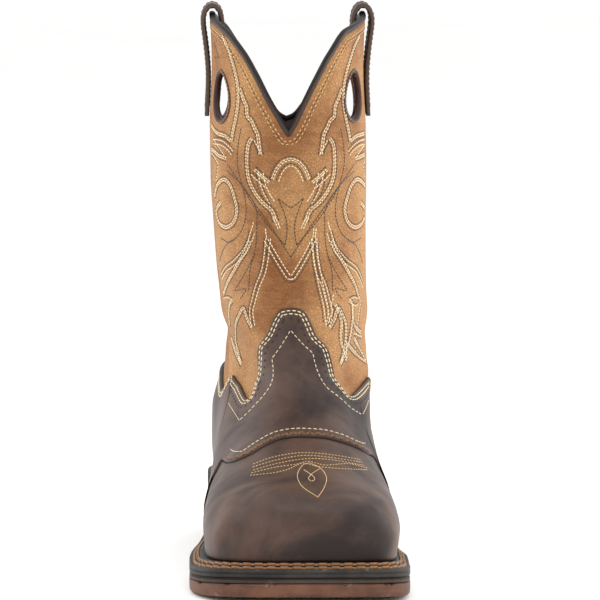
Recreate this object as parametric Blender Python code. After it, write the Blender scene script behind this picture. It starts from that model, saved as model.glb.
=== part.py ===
"""Western work boot for the right foot, standing empty on its sole.

Metres, +Z up. The toe points to -Y, +X is the inner (big toe) side. The origin lies on the
floor under the middle of the heel. Tables are in millimetres.
"""
import bpy
import bmesh
import numpy as np
from math import radians

MM = 0.001
MERGE = 0.02

# Seats and walls (mm)
GAP = 0.3
LEATHER = 2.2
TOE_PANEL = 1.2
SADDLE_PANEL = 2.3
COUNTER_PANEL = 1.9
SIDE_SEAM = 0.25
PANEL_SPLIT = 0.015

# Sole layers (mm)
OUTSOLE_THICK = 7.6
MIDSOLE_THICK = 3.0
WELT_EDGE = 4.9
WELT_RISE = 3.6
WELT_RIM_FLAT = 1.2
WELT_SHOULDER = 6.0
WELT_WIDTH = 17.0
CORE_CLEAR = 0.6
EDGE_BEVEL = 1.3
EDGE_EASE = 0.5
HEEL_LIFT_THICK = 7.0
INSOLE_THICK = 3.5
INSOLE_CLEAR = 0.6

# Mesh fineness
SOLE_AROUND = 56
FRONT_TURNS = (0, 4.5, 9, 13, 17, 21, 25.5, 31, 37, 44, 52, 60, 68, 76, 83, 90)
BACK_TURNS = (98, 107, 116, 125, 134, 143, 152, 161, 170, 180)
TOE_END_TURN = 68
TOE_END_LEVEL = 2.4
HALF_TURNS = np.array(FRONT_TURNS + BACK_TURNS, float)
UPPER_TURNS = np.concatenate([HALF_TURNS, 360.0 - HALF_TURNS[-2:0:-1]])
FOOT_LEVELS = np.linspace(0, 9, 16)
LEG_STEPS = 5
LEVEL_SNAP = 0.13
EDGE_LIFT = 0.5

# Shape of the upper. A row is a ring around the boot, from the feather line to above the
# collar. out is the outer (little toe) side, in the inner side. Stations run along the ring
# from its front (0) to its back (1).
RING_COLUMNS = ("name", "y_front", "x_front", "y_back", "x_back", "cap_front", "cap_back",
                "round_out", "round_in", "round_back",
                "out_ball", "out_waist", "out_seat", "in_ball", "in_waist", "in_seat",
                "z_front", "z_ball", "z_waist", "z_seat", "z_back")
BALL, WAIST, SEAT = 0.24, 0.60, 0.84
RINGS = (
    ("feather", -254, 10, 39.5, 0, 60, 40, 2.5, 4.4, 2.4,
     -41.5, -35, -35.5, 60.3, 35, 36, 22.7, 19.1, 30.8, 41.1, 41.6),
    ("bulge", -256.5, 10, 41.5, 0, 60, 42, 2.5, 4.0, 2.3,
     -42.7, -35.5, -37, 62.3, 40, 37.5, 38, 35, 47, 58, 60),
    ("shoulder", -252.5, 10, 41, 0, 62, 42, 2.4, 3.3, 2.3,
     -39.5, -35.3, -36.7, 58.8, 45.5, 39.5, 48.5, 48, 62, 76, 78),
    ("box_top", -238.5, 10, 36.5, 1, 66, 42, 2.2, 2.7, 2.3,
     -33.5, -33.5, -33.5, 52.5, 48.5, 42, 56, 57.5, 75, 91, 93),
    ("vamp_low", -213.5, 10, 32.5, 3, 72, 42, 2.1, 2.4, 2.2,
     -24.5, -31, -31.5, 44, 49.5, 44, 62, 70, 87, 103, 105),
    ("vamp_high", -184, 10, 31, 5, 75, 44, 2.05, 2.2, 2.2,
     -19, -29, -31, 39.5, 50, 47.0, 70.5, 80, 98, 113.5, 115),
    ("instep_low", -149, 9, 30.5, 6, 75, 46, 2.0, 2.1, 2.2,
     -16, -28.5, -30.5, 37.5, 50.5, 49.3, 83, 94, 109, 121.5, 123),
    ("instep_high", -119, 8.5, 31, 7, 70, 48, 2.0, 2.1, 2.2,
     -19, -29.8, -31, 41, 50.8, 50.5, 100, 108, 121, 131, 132.5),
    ("throat", -99, 8, 32.5, 7, 62, 52, 2.1, 2.1, 2.2,
     -27, -33, -33.5, 47, 50.8, 50, 124, 129, 137.5, 144.5, 146),
    ("ankle", -88, 7, 35, 6, 58, 56, 2.2, 2.2, 2.2,
     -33, -36, -36.5, 49, 50.8, 50, 150, 153, 158, 161, 162),
    ("leg_low", -85.5, 6, 39, 6, 58, 60, 2.2, 2.2, 2.2,
     -37, -38.5, -38.5, 50.3, 51, 50.5, 180, 182, 184.5, 186, 187),
    ("leg_mid", -87, 5, 44, 5, 60, 62, 2.2, 2.2, 2.2,
     -40, -40.5, -40.5, 50.8, 51, 50.7, 212, 213, 214.5, 215.5, 216),
    ("leg_high", -90, 5, 48, 5, 62, 64, 2.2, 2.2, 2.2,
     -40.3, -40.3, -40, 50.2, 50.2, 49.7, 243, 243, 243, 243, 243),
    ("leg_top", -92, 5, 50, 5, 62, 64, 2.2, 2.2, 2.2,
     -38.8, -38.8, -38.5, 48.6, 48.6, 48.2, 276, 276, 276, 276, 276),
    ("collar_plane", -93, 5, 51.5, 5, 62, 64, 2.2, 2.2, 2.2,
     -39.6, -39.8, -39.5, 49.6, 49.6, 49.2, 309, 309, 309, 309, 309),
)

# Outer edge of the welt, in plan, and the height of the outsole's underside
WELT_PLAN = dict(y_front=-263, x_front=10, y_back=47, x_back=0, cap_front=62, cap_back=42,
                 round_out=2.6, round_in=5.0, round_back=2.4,
                 out_ball=-51.8, out_waist=-41.2, out_seat=-41.7,
                 in_ball=69.0, in_waist=41.0, in_seat=42.5)
TREAD_PROFILE = (
    # place, along (y), height (z)
    ("toe", -263, 4.6),
    ("toe_roll", -232, 1.3),
    ("tread_front", -208, 0.0),
    ("tread_back", -140, 0.0),
    ("waist_start", -116, 2.0),
    ("waist", -80, 11.0),
    ("breast", -48, 18.5),
    ("seat", -15, 22.0),
    ("heel_back", 47, 22.5),
)

# Heel under the seat (mm)
HEEL_FRONT_Y = -40.0
HEEL_TAPER = 3.0
TREAD_BAR_PITCH = 17.0
TREAD_GROOVE = 5.0
TREAD_GROOVE_DEPTH = 2.6
TREAD_BARS_FROM = -214.0
TREAD_BAR_COUNT = 6
TREAD_MARGIN = 9.0

# Panel edges on the upper: turn 0 is the front, +90 the inner side, -90 the outer side
COLLAR_EDGE = (
    ("back", -180, 240.5), ("back_curve_out", -175, 243.5), ("back_rise_out", -167, 256.0),
    ("back_slope_out", -158, 270.0), ("back_top_out", -147, 285.0),
    ("back_crest_out", -131, 298.0), ("peak_out", -95, 306.0),
    ("crest_out", -60, 303.0), ("top_out", -42, 297.5), ("slope_out", -29, 287.5),
    ("rise_out", -21, 276.5), ("low_out", -13.5, 263.0), ("foot_out", -7.5, 252.5),
    ("curve_out", -3, 244.5), ("front", -0.5, 241.3), ("curve_in", 2.0, 244.5),
    ("rise_in", 9.5, 260.0), ("slope_in", 15.5, 271.5), ("top_in", 24.5, 286.0),
    ("crest_in", 38, 299.0), ("peak_in", 95, 306.0),
    ("back_crest_in", 131, 294.0), ("back_top_in", 147, 279.0),
    ("back_slope_in", 158, 265.0), ("back_rise_in", 167, 252.0),
    ("back_curve_in", 175, 242.5), ("back_again", 180, 240.5),
)
TONGUE_EDGE = (
    ("side_out", -90, 101.5), ("rise_out", -72, 96.5), ("dip_out", -57, 91.5),
    ("climb_out", -42, 98.5), ("neck_out", -30, 105.0), ("waist_out", -26, 113.0),
    ("shoulder_out", -24, 120.5), ("slope_out", -17, 128.0), ("corner_out", -12, 137.5),
    ("tip_out", -8, 142.0), ("tip", -1, 143.2), ("tip_in", 6, 141.5),
    ("corner_in", 9, 136.5), ("slope_in", 12.5, 127.5), ("shoulder_in", 19, 120.5),
    ("waist_in", 21.5, 113.5), ("neck_in", 24.5, 105.0), ("climb_in", 34, 99.0),
    ("dip_in", 55, 93.5), ("rise_in", 70, 95.5), ("side_in", 90, 100.0),
)
COUNTER_EDGE = (
    ("side_in", 90, 100.0), ("swoop_in", 118, 91.0), ("rise_in", 150, 101.0),
    ("back", 180, 108.0), ("rise_out", 210, 101.0), ("swoop_out", 242, 91.0),
    ("side_out", 270, 101.5),
)
SADDLE_EDGE = (
    ("base_out", -78, 22.0), ("fall_out", -71, 42.0), ("notch_out", -65, 62.5),
    ("hollow_out", -56, 63.0), ("wing_out", -43, 65.0), ("slope_out", -31, 68.8),
    ("shoulder_out", -19, 73.8), ("crown_out", -8, 76.9), ("crown", 0, 77.7),
    ("crown_in", 9.5, 77.2), ("shoulder_in", 21, 75.2), ("slope_in", 37, 71.6),
    ("wing_in", 54, 66.9), ("tip_in", 66, 63.5), ("fall_in", 72, 43.0),
    ("base_in", 79, 22.0),
)

# Pull holes: turn around the leg, height of the middle, half sizes of the opening
HOLES = (
    ("front_out", -50, 262.0), ("front_in", 47, 262.5),
    ("back_out", -130, 258.0), ("back_in", 130, 257.0),
)
HOLE_HALF_WIDTH = 9.8
HOLE_HALF_HEIGHT = 13.0
HOLE_BINDING = 3.2
HOLE_LIP = 0.7
HOLE_SEGMENTS = 18

# Pull straps: distance out from the middle of the wall, height
STRAP_PATH = (
    ("outer_end", 2.75, 249.0), ("outer_leg", 2.9, 274.0), ("outer_swell", 4.6, 294.0),
    ("outer_top", 5.8, 304.0), ("crown_out", 4.2, 310.6), ("crown", 0.0, 313.4),
    ("crown_in", -4.2, 310.6), ("inner_top", -5.8, 304.0), ("inner_swell", -4.6, 292.0),
    ("inner_leg", -2.9, 270.0), ("inner_end", -2.75, 243.0),
)
STRAP_THICK = 2.5
STRAP_HALF_WIDTH = 16.0
STRAP_MIDDLE_Y = -20.5
STRAP_STEPS = 22
STRAP_ACROSS = 2

PIPING_WIDTH = 3.4
PIPING_HEIGHT = 2.6

# Materials: colour, roughness
MATERIALS = {
    "tan_leather": ((0.52, 0.29, 0.12), 0.55),
    "brown_leather": ((0.11, 0.075, 0.06), 0.5),
    "dark_leather": ((0.035, 0.02, 0.018), 0.55),
    "gum_rubber": ((0.20, 0.10, 0.06), 0.6),
    "grey_rubber": ((0.07, 0.068, 0.065), 0.6),
    "midsole_rubber": ((0.11, 0.09, 0.075), 0.6),
    "insole_leather": ((0.25, 0.16, 0.09), 0.7),
}


def clear_objects():
    for item in list(bpy.data.objects):
        bpy.data.objects.remove(item, do_unlink=True)


def monotone(knots, values, where):
    """Smooth curve through the knots that does not overshoot."""
    knots = np.asarray(knots, float)
    values = np.asarray(values, float)
    step = np.diff(knots)
    rise = np.diff(values) / step
    slope = np.zeros_like(values)
    slope[0] = rise[0]
    slope[-1] = rise[-1]
    for i in range(1, len(values) - 1):
        if rise[i - 1] * rise[i] > 0:
            left = 2 * step[i] + step[i - 1]
            right = step[i] + 2 * step[i - 1]
            slope[i] = (left + right) / (left / rise[i - 1] + right / rise[i])
    at = np.clip(np.asarray(where, float), knots[0], knots[-1])
    k = np.clip(np.searchsorted(knots, at, side="right") - 1, 0, len(step) - 1)
    h = step[k]
    t = (at - knots[k]) / h
    start = values[k] * (1 + 2 * t) * (1 - t) ** 2 + values[k + 1] * t * t * (3 - 2 * t)
    return start + h * (slope[k] * t * (1 - t) ** 2 + slope[k + 1] * t * t * (t - 1))


def ring_row(level):
    """The ring's row at a level between the table's rows."""
    knots = np.arange(len(RINGS), dtype=float)
    return {column: float(monotone(knots, [row[k + 1] for row in RINGS], level))
            for k, column in enumerate(RING_COLUMNS[1:])}


def plan_half(row, side, count, inset=0.0):
    """Half outline of a ring from its front to its back, count + 1 points evenly spaced.
    Returns x, y and the station of each point."""
    prefix = "in_" if side > 0 else "out_"
    front = row["y_front"] + inset
    back = row["y_back"] - inset
    fine = 600
    station = 0.5 - 0.5 * np.cos(np.linspace(0, np.pi, fine))
    y = front + (back - front) * station
    reach = monotone((0, BALL, WAIST, SEAT, 1),
                     (row[prefix + "ball"], row[prefix + "ball"], row[prefix + "waist"],
                      row[prefix + "seat"], row[prefix + "seat"]), station)
    reach = reach - side * inset
    middle = row["x_front"] + (row["x_back"] - row["x_front"]) * station
    power = row["round_in"] if side > 0 else row["round_out"]
    ahead = np.clip((front + row["cap_front"] - y) / row["cap_front"], 0, 1)
    behind = np.clip((y - back + row["cap_back"]) / row["cap_back"], 0, 1)
    cap = (1 - ahead ** power) ** (1 / power)
    cap = cap * (1 - behind ** row["round_back"]) ** (1 / row["round_back"])
    x = middle + (reach - middle) * cap
    run = np.concatenate(([0], np.cumsum(np.hypot(np.diff(x), np.diff(y)))))
    even = np.linspace(0, run[-1], count + 1)
    return np.interp(even, run, x), np.interp(even, run, y), np.interp(even, run, station)


def z_feather(station):
    return monotone((0, BALL, WAIST, SEAT, 1), RINGS[0][16:21], station)


def tread_height(y):
    return monotone([row[1] for row in TREAD_PROFILE], [row[2] for row in TREAD_PROFILE], y)


def feather_height(y):
    return tread_height(y) + OUTSOLE_THICK + MIDSOLE_THICK + WELT_EDGE + WELT_RISE


def ring_points(level, count):
    """Closed ring of count points: inner side from front to back, outer side back to front."""
    row = ring_row(level)
    heights = [row["z_" + part] for part in ("front", "ball", "waist", "seat", "back")]
    half = count // 2
    points = np.zeros((count, 3))
    for side in (1, -1):
        x, y, station = plan_half(row, side, half)
        z = monotone((0, BALL, WAIST, SEAT, 1), heights, station)
        if level < 1:
            z = z + (feather_height(y) - z_feather(station)) * (1 - level) ** 2
        block = np.stack([x, y, z], axis=1)
        if side > 0:
            points[:half + 1] = block
        else:
            points[half + 1:] = block[::-1][1:-1]
    return points


FINE_LEVELS = 8
FINE_AROUND = 240


class BootSurface:
    """Outer face of the upper as a fine grid over turn and level, with its normals."""

    def __init__(self):
        self.levels = np.linspace(0, len(RINGS) - 1, (len(RINGS) - 1) * FINE_LEVELS + 1)
        self.grid = np.stack([ring_points(v, FINE_AROUND) for v in self.levels])
        around = np.roll(self.grid, -1, 1) - np.roll(self.grid, 1, 1)
        upward = np.gradient(self.grid, axis=0)
        normal = np.cross(around, upward)
        self.normal = normal / np.linalg.norm(normal, axis=2, keepdims=True)

    def lookup(self, field, turn, level):
        turn = np.asarray(turn, float)
        column = (turn % 360.0) / 360.0 * FINE_AROUND
        row = np.clip(np.asarray(level, float), 0, self.levels[-1]) * FINE_LEVELS
        i = np.clip(np.floor(row).astype(int), 0, len(self.levels) - 2)
        j = np.floor(column).astype(int) % FINE_AROUND
        a = (row - i)[..., None]
        b = (column - np.floor(column))[..., None]
        k = (j + 1) % FINE_AROUND
        low = field[i, j] * (1 - b) + field[i, k] * b
        high = field[i + 1, j] * (1 - b) + field[i + 1, k] * b
        return low * (1 - a) + high * a

    def point(self, turn, level, out=0.0):
        """Point at a turn and level, moved out of the face by out millimetres."""
        base = self.lookup(self.grid, turn, level)
        normal = self.lookup(self.normal, turn, level)
        normal = normal / np.linalg.norm(normal, axis=-1, keepdims=True)
        return base + normal * np.asarray(out, float)[..., None]

    def level_at(self, turn, height):
        """Level at which the face reaches a height, for each turn."""
        turn, height = np.broadcast_arrays(np.asarray(turn, float), height)
        found = np.zeros(turn.shape)
        for index in np.ndindex(turn.shape):
            column = (turn[index] % 360.0) / 360.0 * FINE_AROUND
            j = int(np.floor(column)) % FINE_AROUND
            b = column - np.floor(column)
            z = self.grid[:, j, 2] * (1 - b) + self.grid[:, (j + 1) % FINE_AROUND, 2] * b
            found[index] = np.interp(height[index], z, self.levels)
        return found


def edge_height(table, turn):
    return monotone([row[1] for row in table], [row[2] for row in table], turn)


def material(name):
    found = bpy.data.materials.get(name)
    if found:
        return found
    colour, rough = MATERIALS[name]
    made = bpy.data.materials.new(name)
    made.use_nodes = True
    shader = made.node_tree.nodes["Principled BSDF"]
    shader.inputs["Base Color"].default_value = (*colour, 1)
    shader.inputs["Roughness"].default_value = rough
    return made


def add_object(name, points, faces, skin, smooth=40.0):
    mesh = bpy.data.meshes.new(name)
    mesh.from_pydata([tuple(p * MM) for p in points], [], faces)
    work = bmesh.new()
    work.from_mesh(mesh)
    bmesh.ops.remove_doubles(work, verts=work.verts, dist=MERGE * MM)
    bmesh.ops.recalc_face_normals(work, faces=work.faces)
    work.to_mesh(mesh)
    work.free()
    mesh.shade_smooth()
    mesh.set_sharp_from_angle(angle=radians(smooth))
    mesh.materials.append(material(skin))
    made = bpy.data.objects.new(name, mesh)
    bpy.context.scene.collection.objects.link(made)
    return made


def closed_rings(name, rings, skin, smooth=40.0):
    """Solid skin through closed rings of points; the last ring joins the first."""
    rings = np.asarray(rings)
    count, around = rings.shape[:2]
    faces = []
    for i in range(count):
        k = (i + 1) % count
        for j in range(around):
            m = (j + 1) % around
            faces.append((i * around + j, i * around + m, k * around + m))
            faces.append((i * around + j, k * around + m, k * around + j))
    return add_object(name, rings.reshape(-1, 3), faces, skin, smooth)


def patch_shell(name, inner, outer, skin, left_out=()):
    """Thin solid between two open patches of points (rows by columns). Cells named in
    left_out, as row and column, are left open."""
    rows, columns = inner.shape[:2]
    points = np.concatenate([inner.reshape(-1, 3), outer.reshape(-1, 3)])
    shift = rows * columns
    faces = []
    rim = {}
    for i in range(rows - 1):
        for j in range(columns - 1):
            if (i, j) in left_out:
                continue
            a = i * columns + j
            b = a + columns
            faces.append((a, b + 1, a + 1))
            faces.append((a, b, b + 1))
            faces.append((shift + a, shift + a + 1, shift + b + 1))
            faces.append((shift + a, shift + b + 1, shift + b))
            for start, end in ((a, a + 1), (a + 1, b + 1), (b + 1, b), (b, a)):
                if (end, start) in rim:
                    del rim[(end, start)]
                else:
                    rim[(start, end)] = True
    for start, end in rim:
        faces.append((start, end, shift + end, shift + start))
    return add_object(name, points, faces, skin)


def sole_ring(inset, height_of):
    """Ring of the sole at an inset from the welt's edge, at a height that follows y."""
    half = SOLE_AROUND // 2
    points = np.zeros((SOLE_AROUND, 3))
    for side in (1, -1):
        x, y, _ = plan_half(WELT_PLAN, side, half, inset)
        block = np.stack([x, y, height_of(y)], axis=1)
        if side > 0:
            points[:half + 1] = block
        else:
            points[half + 1:] = block[::-1][1:-1]
    return points


def cap_faces(first, around):
    """Strips across a ring, from its front point to its back point."""
    half = around // 2
    faces = [(first, first + 1, first + around - 1)]
    for k in range(1, half - 1):
        faces.append((first + k, first + k + 1, first + around - k - 1, first + around - k))
    faces.append((first + half - 1, first + half, first + half + 1))
    return faces


def plate(name, rings, skin, smooth=40.0):
    """Solid through a stack of rings, closed across the first and the last."""
    rings = np.asarray(rings)
    count, around = rings.shape[:2]
    faces = cap_faces(0, around) + cap_faces((count - 1) * around, around)
    for i in range(count - 1):
        for j in range(around):
            m = (j + 1) % around
            faces.append((i * around + j, i * around + m, (i + 1) * around + m))
            faces.append((i * around + j, (i + 1) * around + m, (i + 1) * around + j))
    return add_object(name, rings.reshape(-1, 3), faces, skin, smooth)


def cut(target, cutter):
    mod = target.modifiers.new("cut_" + cutter.name, "BOOLEAN")
    mod.operation = "DIFFERENCE"
    mod.solver = "EXACT"
    mod.object = cutter
    cutter.hide_render = True
    cutter.display_type = "WIRE"


def box_cutter(name, low, high):
    corners = np.array([(x, y, z) for x in (low[0], high[0]) for y in (low[1], high[1])
                        for z in (low[2], high[2])], float)
    faces = [(0, 1, 3, 2), (4, 6, 7, 5), (0, 4, 5, 1), (2, 3, 7, 6), (0, 2, 6, 4),
             (1, 5, 7, 3)]
    return add_object(name, corners, faces, "gum_rubber")


def build_sole():
    under = tread_height
    joint = OUTSOLE_THICK - GAP
    outsole = plate("outsole", [
        sole_ring(EDGE_BEVEL, under),
        sole_ring(0.0, lambda y: under(y) + EDGE_BEVEL),
        sole_ring(0.0, lambda y: under(y) + joint - EDGE_EASE),
        sole_ring(EDGE_EASE, lambda y: under(y) + joint)], "gum_rubber")
    for k in range(TREAD_BAR_COUNT):
        low = TREAD_BARS_FROM + k * TREAD_BAR_PITCH
        ring = sole_ring(TREAD_MARGIN, under)
        near = ring[np.abs(ring[:, 1] - low) < TREAD_BAR_PITCH]
        left, right = near[:, 0].min(), near[:, 0].max()
        cut(outsole, box_cutter("groove_%d" % (k + 1), (left, low, -5.0),
                                (right, low + TREAD_GROOVE, TREAD_GROOVE_DEPTH)))

    base = OUTSOLE_THICK
    core = WELT_WIDTH + CORE_CLEAR
    shelf = base + MIDSOLE_THICK - GAP
    core_top = base + MIDSOLE_THICK + WELT_EDGE + WELT_RISE - GAP
    plate("midsole", [
        sole_ring(EDGE_EASE, lambda y: under(y) + base),
        sole_ring(0.0, lambda y: under(y) + base + EDGE_EASE),
        sole_ring(0.0, lambda y: under(y) + shelf - EDGE_EASE),
        sole_ring(EDGE_EASE, lambda y: under(y) + shelf),
        sole_ring(WELT_WIDTH, lambda y: under(y) + shelf),
        sole_ring(core, lambda y: under(y) + shelf),
        sole_ring(core, lambda y: under(y) + core_top)], "midsole_rubber")

    seat = base + MIDSOLE_THICK
    top = seat + WELT_EDGE + WELT_RISE - GAP
    closed_rings("welt", [
        sole_ring(EDGE_EASE, lambda y: under(y) + seat),
        sole_ring(WELT_WIDTH, lambda y: under(y) + seat),
        sole_ring(WELT_WIDTH, lambda y: under(y) + top),
        sole_ring(WELT_SHOULDER, lambda y: under(y) + top),
        sole_ring(WELT_RIM_FLAT, lambda y: under(y) + seat + WELT_EDGE),
        sole_ring(0.0, lambda y: under(y) + seat + WELT_EDGE - EDGE_EASE),
        sole_ring(0.0, lambda y: under(y) + seat + EDGE_EASE),
    ], "grey_rubber")


def heel_outline(inset, front):
    """Heel outline: the welt's plan behind the heel's front face, in one ring."""
    half = 14
    rows = []
    x_in, y_in, _ = plan_half(WELT_PLAN, 1, 400, inset)
    x_out, y_out, _ = plan_half(WELT_PLAN, -1, 400, inset)
    for x, y, flip in ((x_in, y_in, False), (x_out, y_out, True)):
        keep = y >= front
        x, y = x[keep], y[keep]
        run = np.concatenate(([0], np.cumsum(np.hypot(np.diff(x), np.diff(y)))))
        even = np.linspace(0, run[-1], half + 1)
        side = np.stack([np.interp(even, run, x), np.interp(even, run, y)], axis=1)
        side[0, 1] = front
        rows.append(side[::-1] if flip else side)
    return np.concatenate([rows[0], rows[1][1:]])


def heel_ring(inset, front, height_of):
    flat = heel_outline(inset, front)
    return np.column_stack([flat, height_of(flat[:, 1]) + 0 * flat[:, 0]])


def heel_plate(name, rings, skin):
    """Solid through heel rings. The first and last point of a ring end its front edge."""
    rings = np.asarray(rings)
    count, around = rings.shape[:2]
    faces = []
    for first in (0, (count - 1) * around):
        last = first + around - 1
        for k in range((around - 1) // 2):
            if last - k - 1 > first + k + 1:
                faces.append((first + k, first + k + 1, last - k - 1, last - k))
            else:
                faces.append((first + k, first + k + 1, last - k))
    for i in range(count - 1):
        for j in range(around):
            m = (j + 1) % around
            faces.append((i * around + j, i * around + m, (i + 1) * around + m,
                          (i + 1) * around + j))
    return add_object(name, rings.reshape(-1, 3), faces, skin)


def build_heel():
    top = lambda y: tread_height(y) - GAP
    lift = lambda y: 0 * y + HEEL_LIFT_THICK
    heel_plate("heel_block", [
        heel_ring(HEEL_TAPER * 0.8, HEEL_FRONT_Y + 1.6, lift),
        heel_ring(0.8, HEEL_FRONT_Y, top)], "grey_rubber")
    heel_plate("heel_lift", [
        heel_ring(HEEL_TAPER + 0.8, HEEL_FRONT_Y + 2.6, lambda y: 0 * y),
        heel_ring(HEEL_TAPER, HEEL_FRONT_Y + 1.8, lambda y: 0 * y + 0.8),
        heel_ring(HEEL_TAPER * 0.8, HEEL_FRONT_Y + 1.6,
                  lambda y: 0 * y + HEEL_LIFT_THICK - GAP)], "gum_rubber")


def build_insole(face):
    """Footbed plate inside the upper's wall, on the welt and the midsole's core."""
    rim = foot_edge(face, UPPER_TURNS, LEATHER + GAP + INSOLE_CLEAR)
    low = np.column_stack([rim[:, :2], feather_height(rim[:, 1])])
    high = low + np.array([0.0, 0.0, INSOLE_THICK])
    plate("insole", [low, high], "insole_leather")


def foot_edge(face, turns, inset):
    """Lower edge of the upper moved level towards the inside of the boot."""
    edge = face.point(turns, 0 * turns)
    normal = face.lookup(face.normal, turns, 0 * turns)
    normal[:, 2] = 0
    normal /= np.linalg.norm(normal, axis=1, keepdims=True)
    return edge - normal * inset


def build_upper(face):
    turns = UPPER_TURNS
    signed = np.where(turns > 180, turns - 360, turns)
    top = face.level_at(turns, edge_height(COLLAR_EDGE, signed))
    rows = [level + 0 * turns for level in FOOT_LEVELS]
    for k in range(1, LEG_STEPS + 1):
        rows.append(FOOT_LEVELS[-1] + (top - FOOT_LEVELS[-1]) * k / LEG_STEPS)
    outer = [face.point(turns, row) for row in rows]
    inner = [face.point(turns, row, -LEATHER + 0 * turns) for row in rows]
    inner[0] = foot_edge(face, turns, LEATHER)
    inner[-1][:, 2] = outer[-1][:, 2]
    upper = closed_rings("upper", outer + inner[::-1], "tan_leather", 50.0)
    for name, turn, height in HOLES:
        cut(upper, hole_cutter(face, name, turn, height))
    return upper


def hole_frame(face, turn, height):
    level = face.level_at(turn, height)
    middle = face.point(turn, level)
    normal = face.lookup(face.normal, turn, level)
    normal = np.array([normal[0], normal[1], 0.0])
    normal /= np.linalg.norm(normal)
    across = np.cross(np.array([0.0, 0.0, 1.0]), normal)
    return middle, normal, across


def hole_outline(grow):
    """Egg outline of a pull hole, narrower at its top."""
    angle = np.arange(HOLE_SEGMENTS) * 2 * np.pi / HOLE_SEGMENTS
    rise = np.sin(angle)
    width = (HOLE_HALF_WIDTH + grow) * (1 - 0.16 * rise)
    return width * np.cos(angle), (HOLE_HALF_HEIGHT + grow) * rise


def hole_cutter(face, name, turn, height):
    middle, normal, across = hole_frame(face, turn, height)
    a, b = hole_outline(HOLE_BINDING)
    rings = []
    for depth in (-14.0, 10.0):
        rings.append(middle + normal * depth + a[:, None] * across
                     + b[:, None] * np.array([0.0, 0.0, 1.0]))
    rings = np.asarray(rings)
    around = HOLE_SEGMENTS
    faces = [tuple(range(around)), tuple(range(2 * around - 1, around - 1, -1))]
    for j in range(around):
        m = (j + 1) % around
        faces.append((j, m, around + m, around + j))
    return add_object("hole_cut_" + name, rings.reshape(-1, 3), faces, "dark_leather")


def build_bindings(face):
    for name, turn, height in HOLES:
        middle, normal, across = hole_frame(face, turn, height)
        near = turn + np.linspace(-40, 40, 161)
        rings = []
        for grow, out in ((0.0, -LEATHER - HOLE_LIP), (HOLE_BINDING - GAP, -LEATHER - HOLE_LIP),
                          (HOLE_BINDING - GAP, HOLE_LIP), (0.0, HOLE_LIP)):
            a, b = hole_outline(grow)
            ring = np.zeros((HOLE_SEGMENTS, 3))
            for k in range(HOLE_SEGMENTS):
                level = face.level_at(turn, height + b[k])
                row = face.point(near, level + 0 * near, out + 0 * near)
                along = (row - middle) @ across
                ring[k] = [np.interp(a[k], along, row[:, c]) for c in range(3)]
            rings.append(ring)
        closed_rings("hole_binding_" + name, rings, "dark_leather")


def facet_rise(face, turns, level):
    """How far the upper's flat facets stand out of the face at a turn and level."""
    k = np.clip(np.searchsorted(FOOT_LEVELS, level, side="right") - 1, 0,
                len(FOOT_LEVELS) - 2)
    low, high = FOOT_LEVELS[k], FOOT_LEVELS[k + 1]
    share = ((level - low) / (high - low))[:, None]
    facet = face.point(turns, low) * (1 - share) + face.point(turns, high) * share
    rise = ((facet - face.point(turns, level)) * face.lookup(face.normal, turns, level))
    return np.maximum(rise.sum(axis=1), 0.0)


def panel_rows(face, turns, low, high, out, lifted):
    """Patch of points between two levels, on the upper's own rows and columns."""
    first = max(0, np.searchsorted(FOOT_LEVELS, low.min(), side="right") - 1)
    last = np.searchsorted(FOOT_LEVELS, high.max())
    rows = []
    for level in FOOT_LEVELS[first:last + 1]:
        row = np.clip(level, low, high)
        row = np.where(row - low < LEVEL_SNAP, low, row)
        row = np.where(high - row < LEVEL_SNAP, high, row)
        edge = (row == low) | (row == high)
        rise = facet_rise(face, turns, row) + EDGE_LIFT * edge if lifted else 0 * turns
        rows.append(face.point(turns, row, out + rise))
    return np.stack(rows)


def build_panels(face):
    def patch(name, turns, low, high, thick, left_out=()):
        inner = panel_rows(face, turns, low, high, GAP, True)
        outer = panel_rows(face, turns, low, high, GAP + thick, False)
        return patch_shell(name, inner, outer, "brown_leather", left_out)

    turns = np.array(FRONT_TURNS, float)
    front = np.concatenate([-turns[:0:-1], turns])
    base = face.level_at(front, feather_height(face.point(front, 0 * front)[:, 1]) + 0.2)
    split = face.level_at(front, edge_height(SADDLE_EDGE, front))
    split = np.where(np.abs(front) == TOE_END_TURN, TOE_END_LEVEL, split)
    toe = np.abs(front) <= TOE_END_TURN
    toe_turns = front[toe]
    toe_turns[0] += SIDE_SEAM
    toe_turns[-1] -= SIDE_SEAM
    patch("toe_vamp", toe_turns, base[toe], split[toe] - PANEL_SPLIT, TOE_PANEL)

    front[0] += SIDE_SEAM
    front[-1] -= SIDE_SEAM
    low = np.where(np.abs(front) < TOE_END_TURN, split + PANEL_SPLIT, base)
    tongue = face.level_at(front, edge_height(TONGUE_EDGE, front))
    ends = np.flatnonzero(toe)
    rows_under = int(np.searchsorted(FOOT_LEVELS, TOE_END_LEVEL))
    left_out = {(k, j) for k in range(rows_under) for j in (ends[0], ends[-1] - 1)}
    patch("saddle_overlay", front, low, tongue, SADDLE_PANEL, left_out)

    back = np.concatenate([[90.0], BACK_TURNS, 360.0 - np.array(BACK_TURNS[-2::-1]), [270.0]])
    back[0] += SIDE_SEAM
    back[-1] -= SIDE_SEAM
    base = face.level_at(back, feather_height(face.point(back, 0 * back)[:, 1]) + 0.2)
    top = face.level_at(back, edge_height(COUNTER_EDGE, back))
    patch("counter", back, base, top, COUNTER_PANEL)


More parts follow.
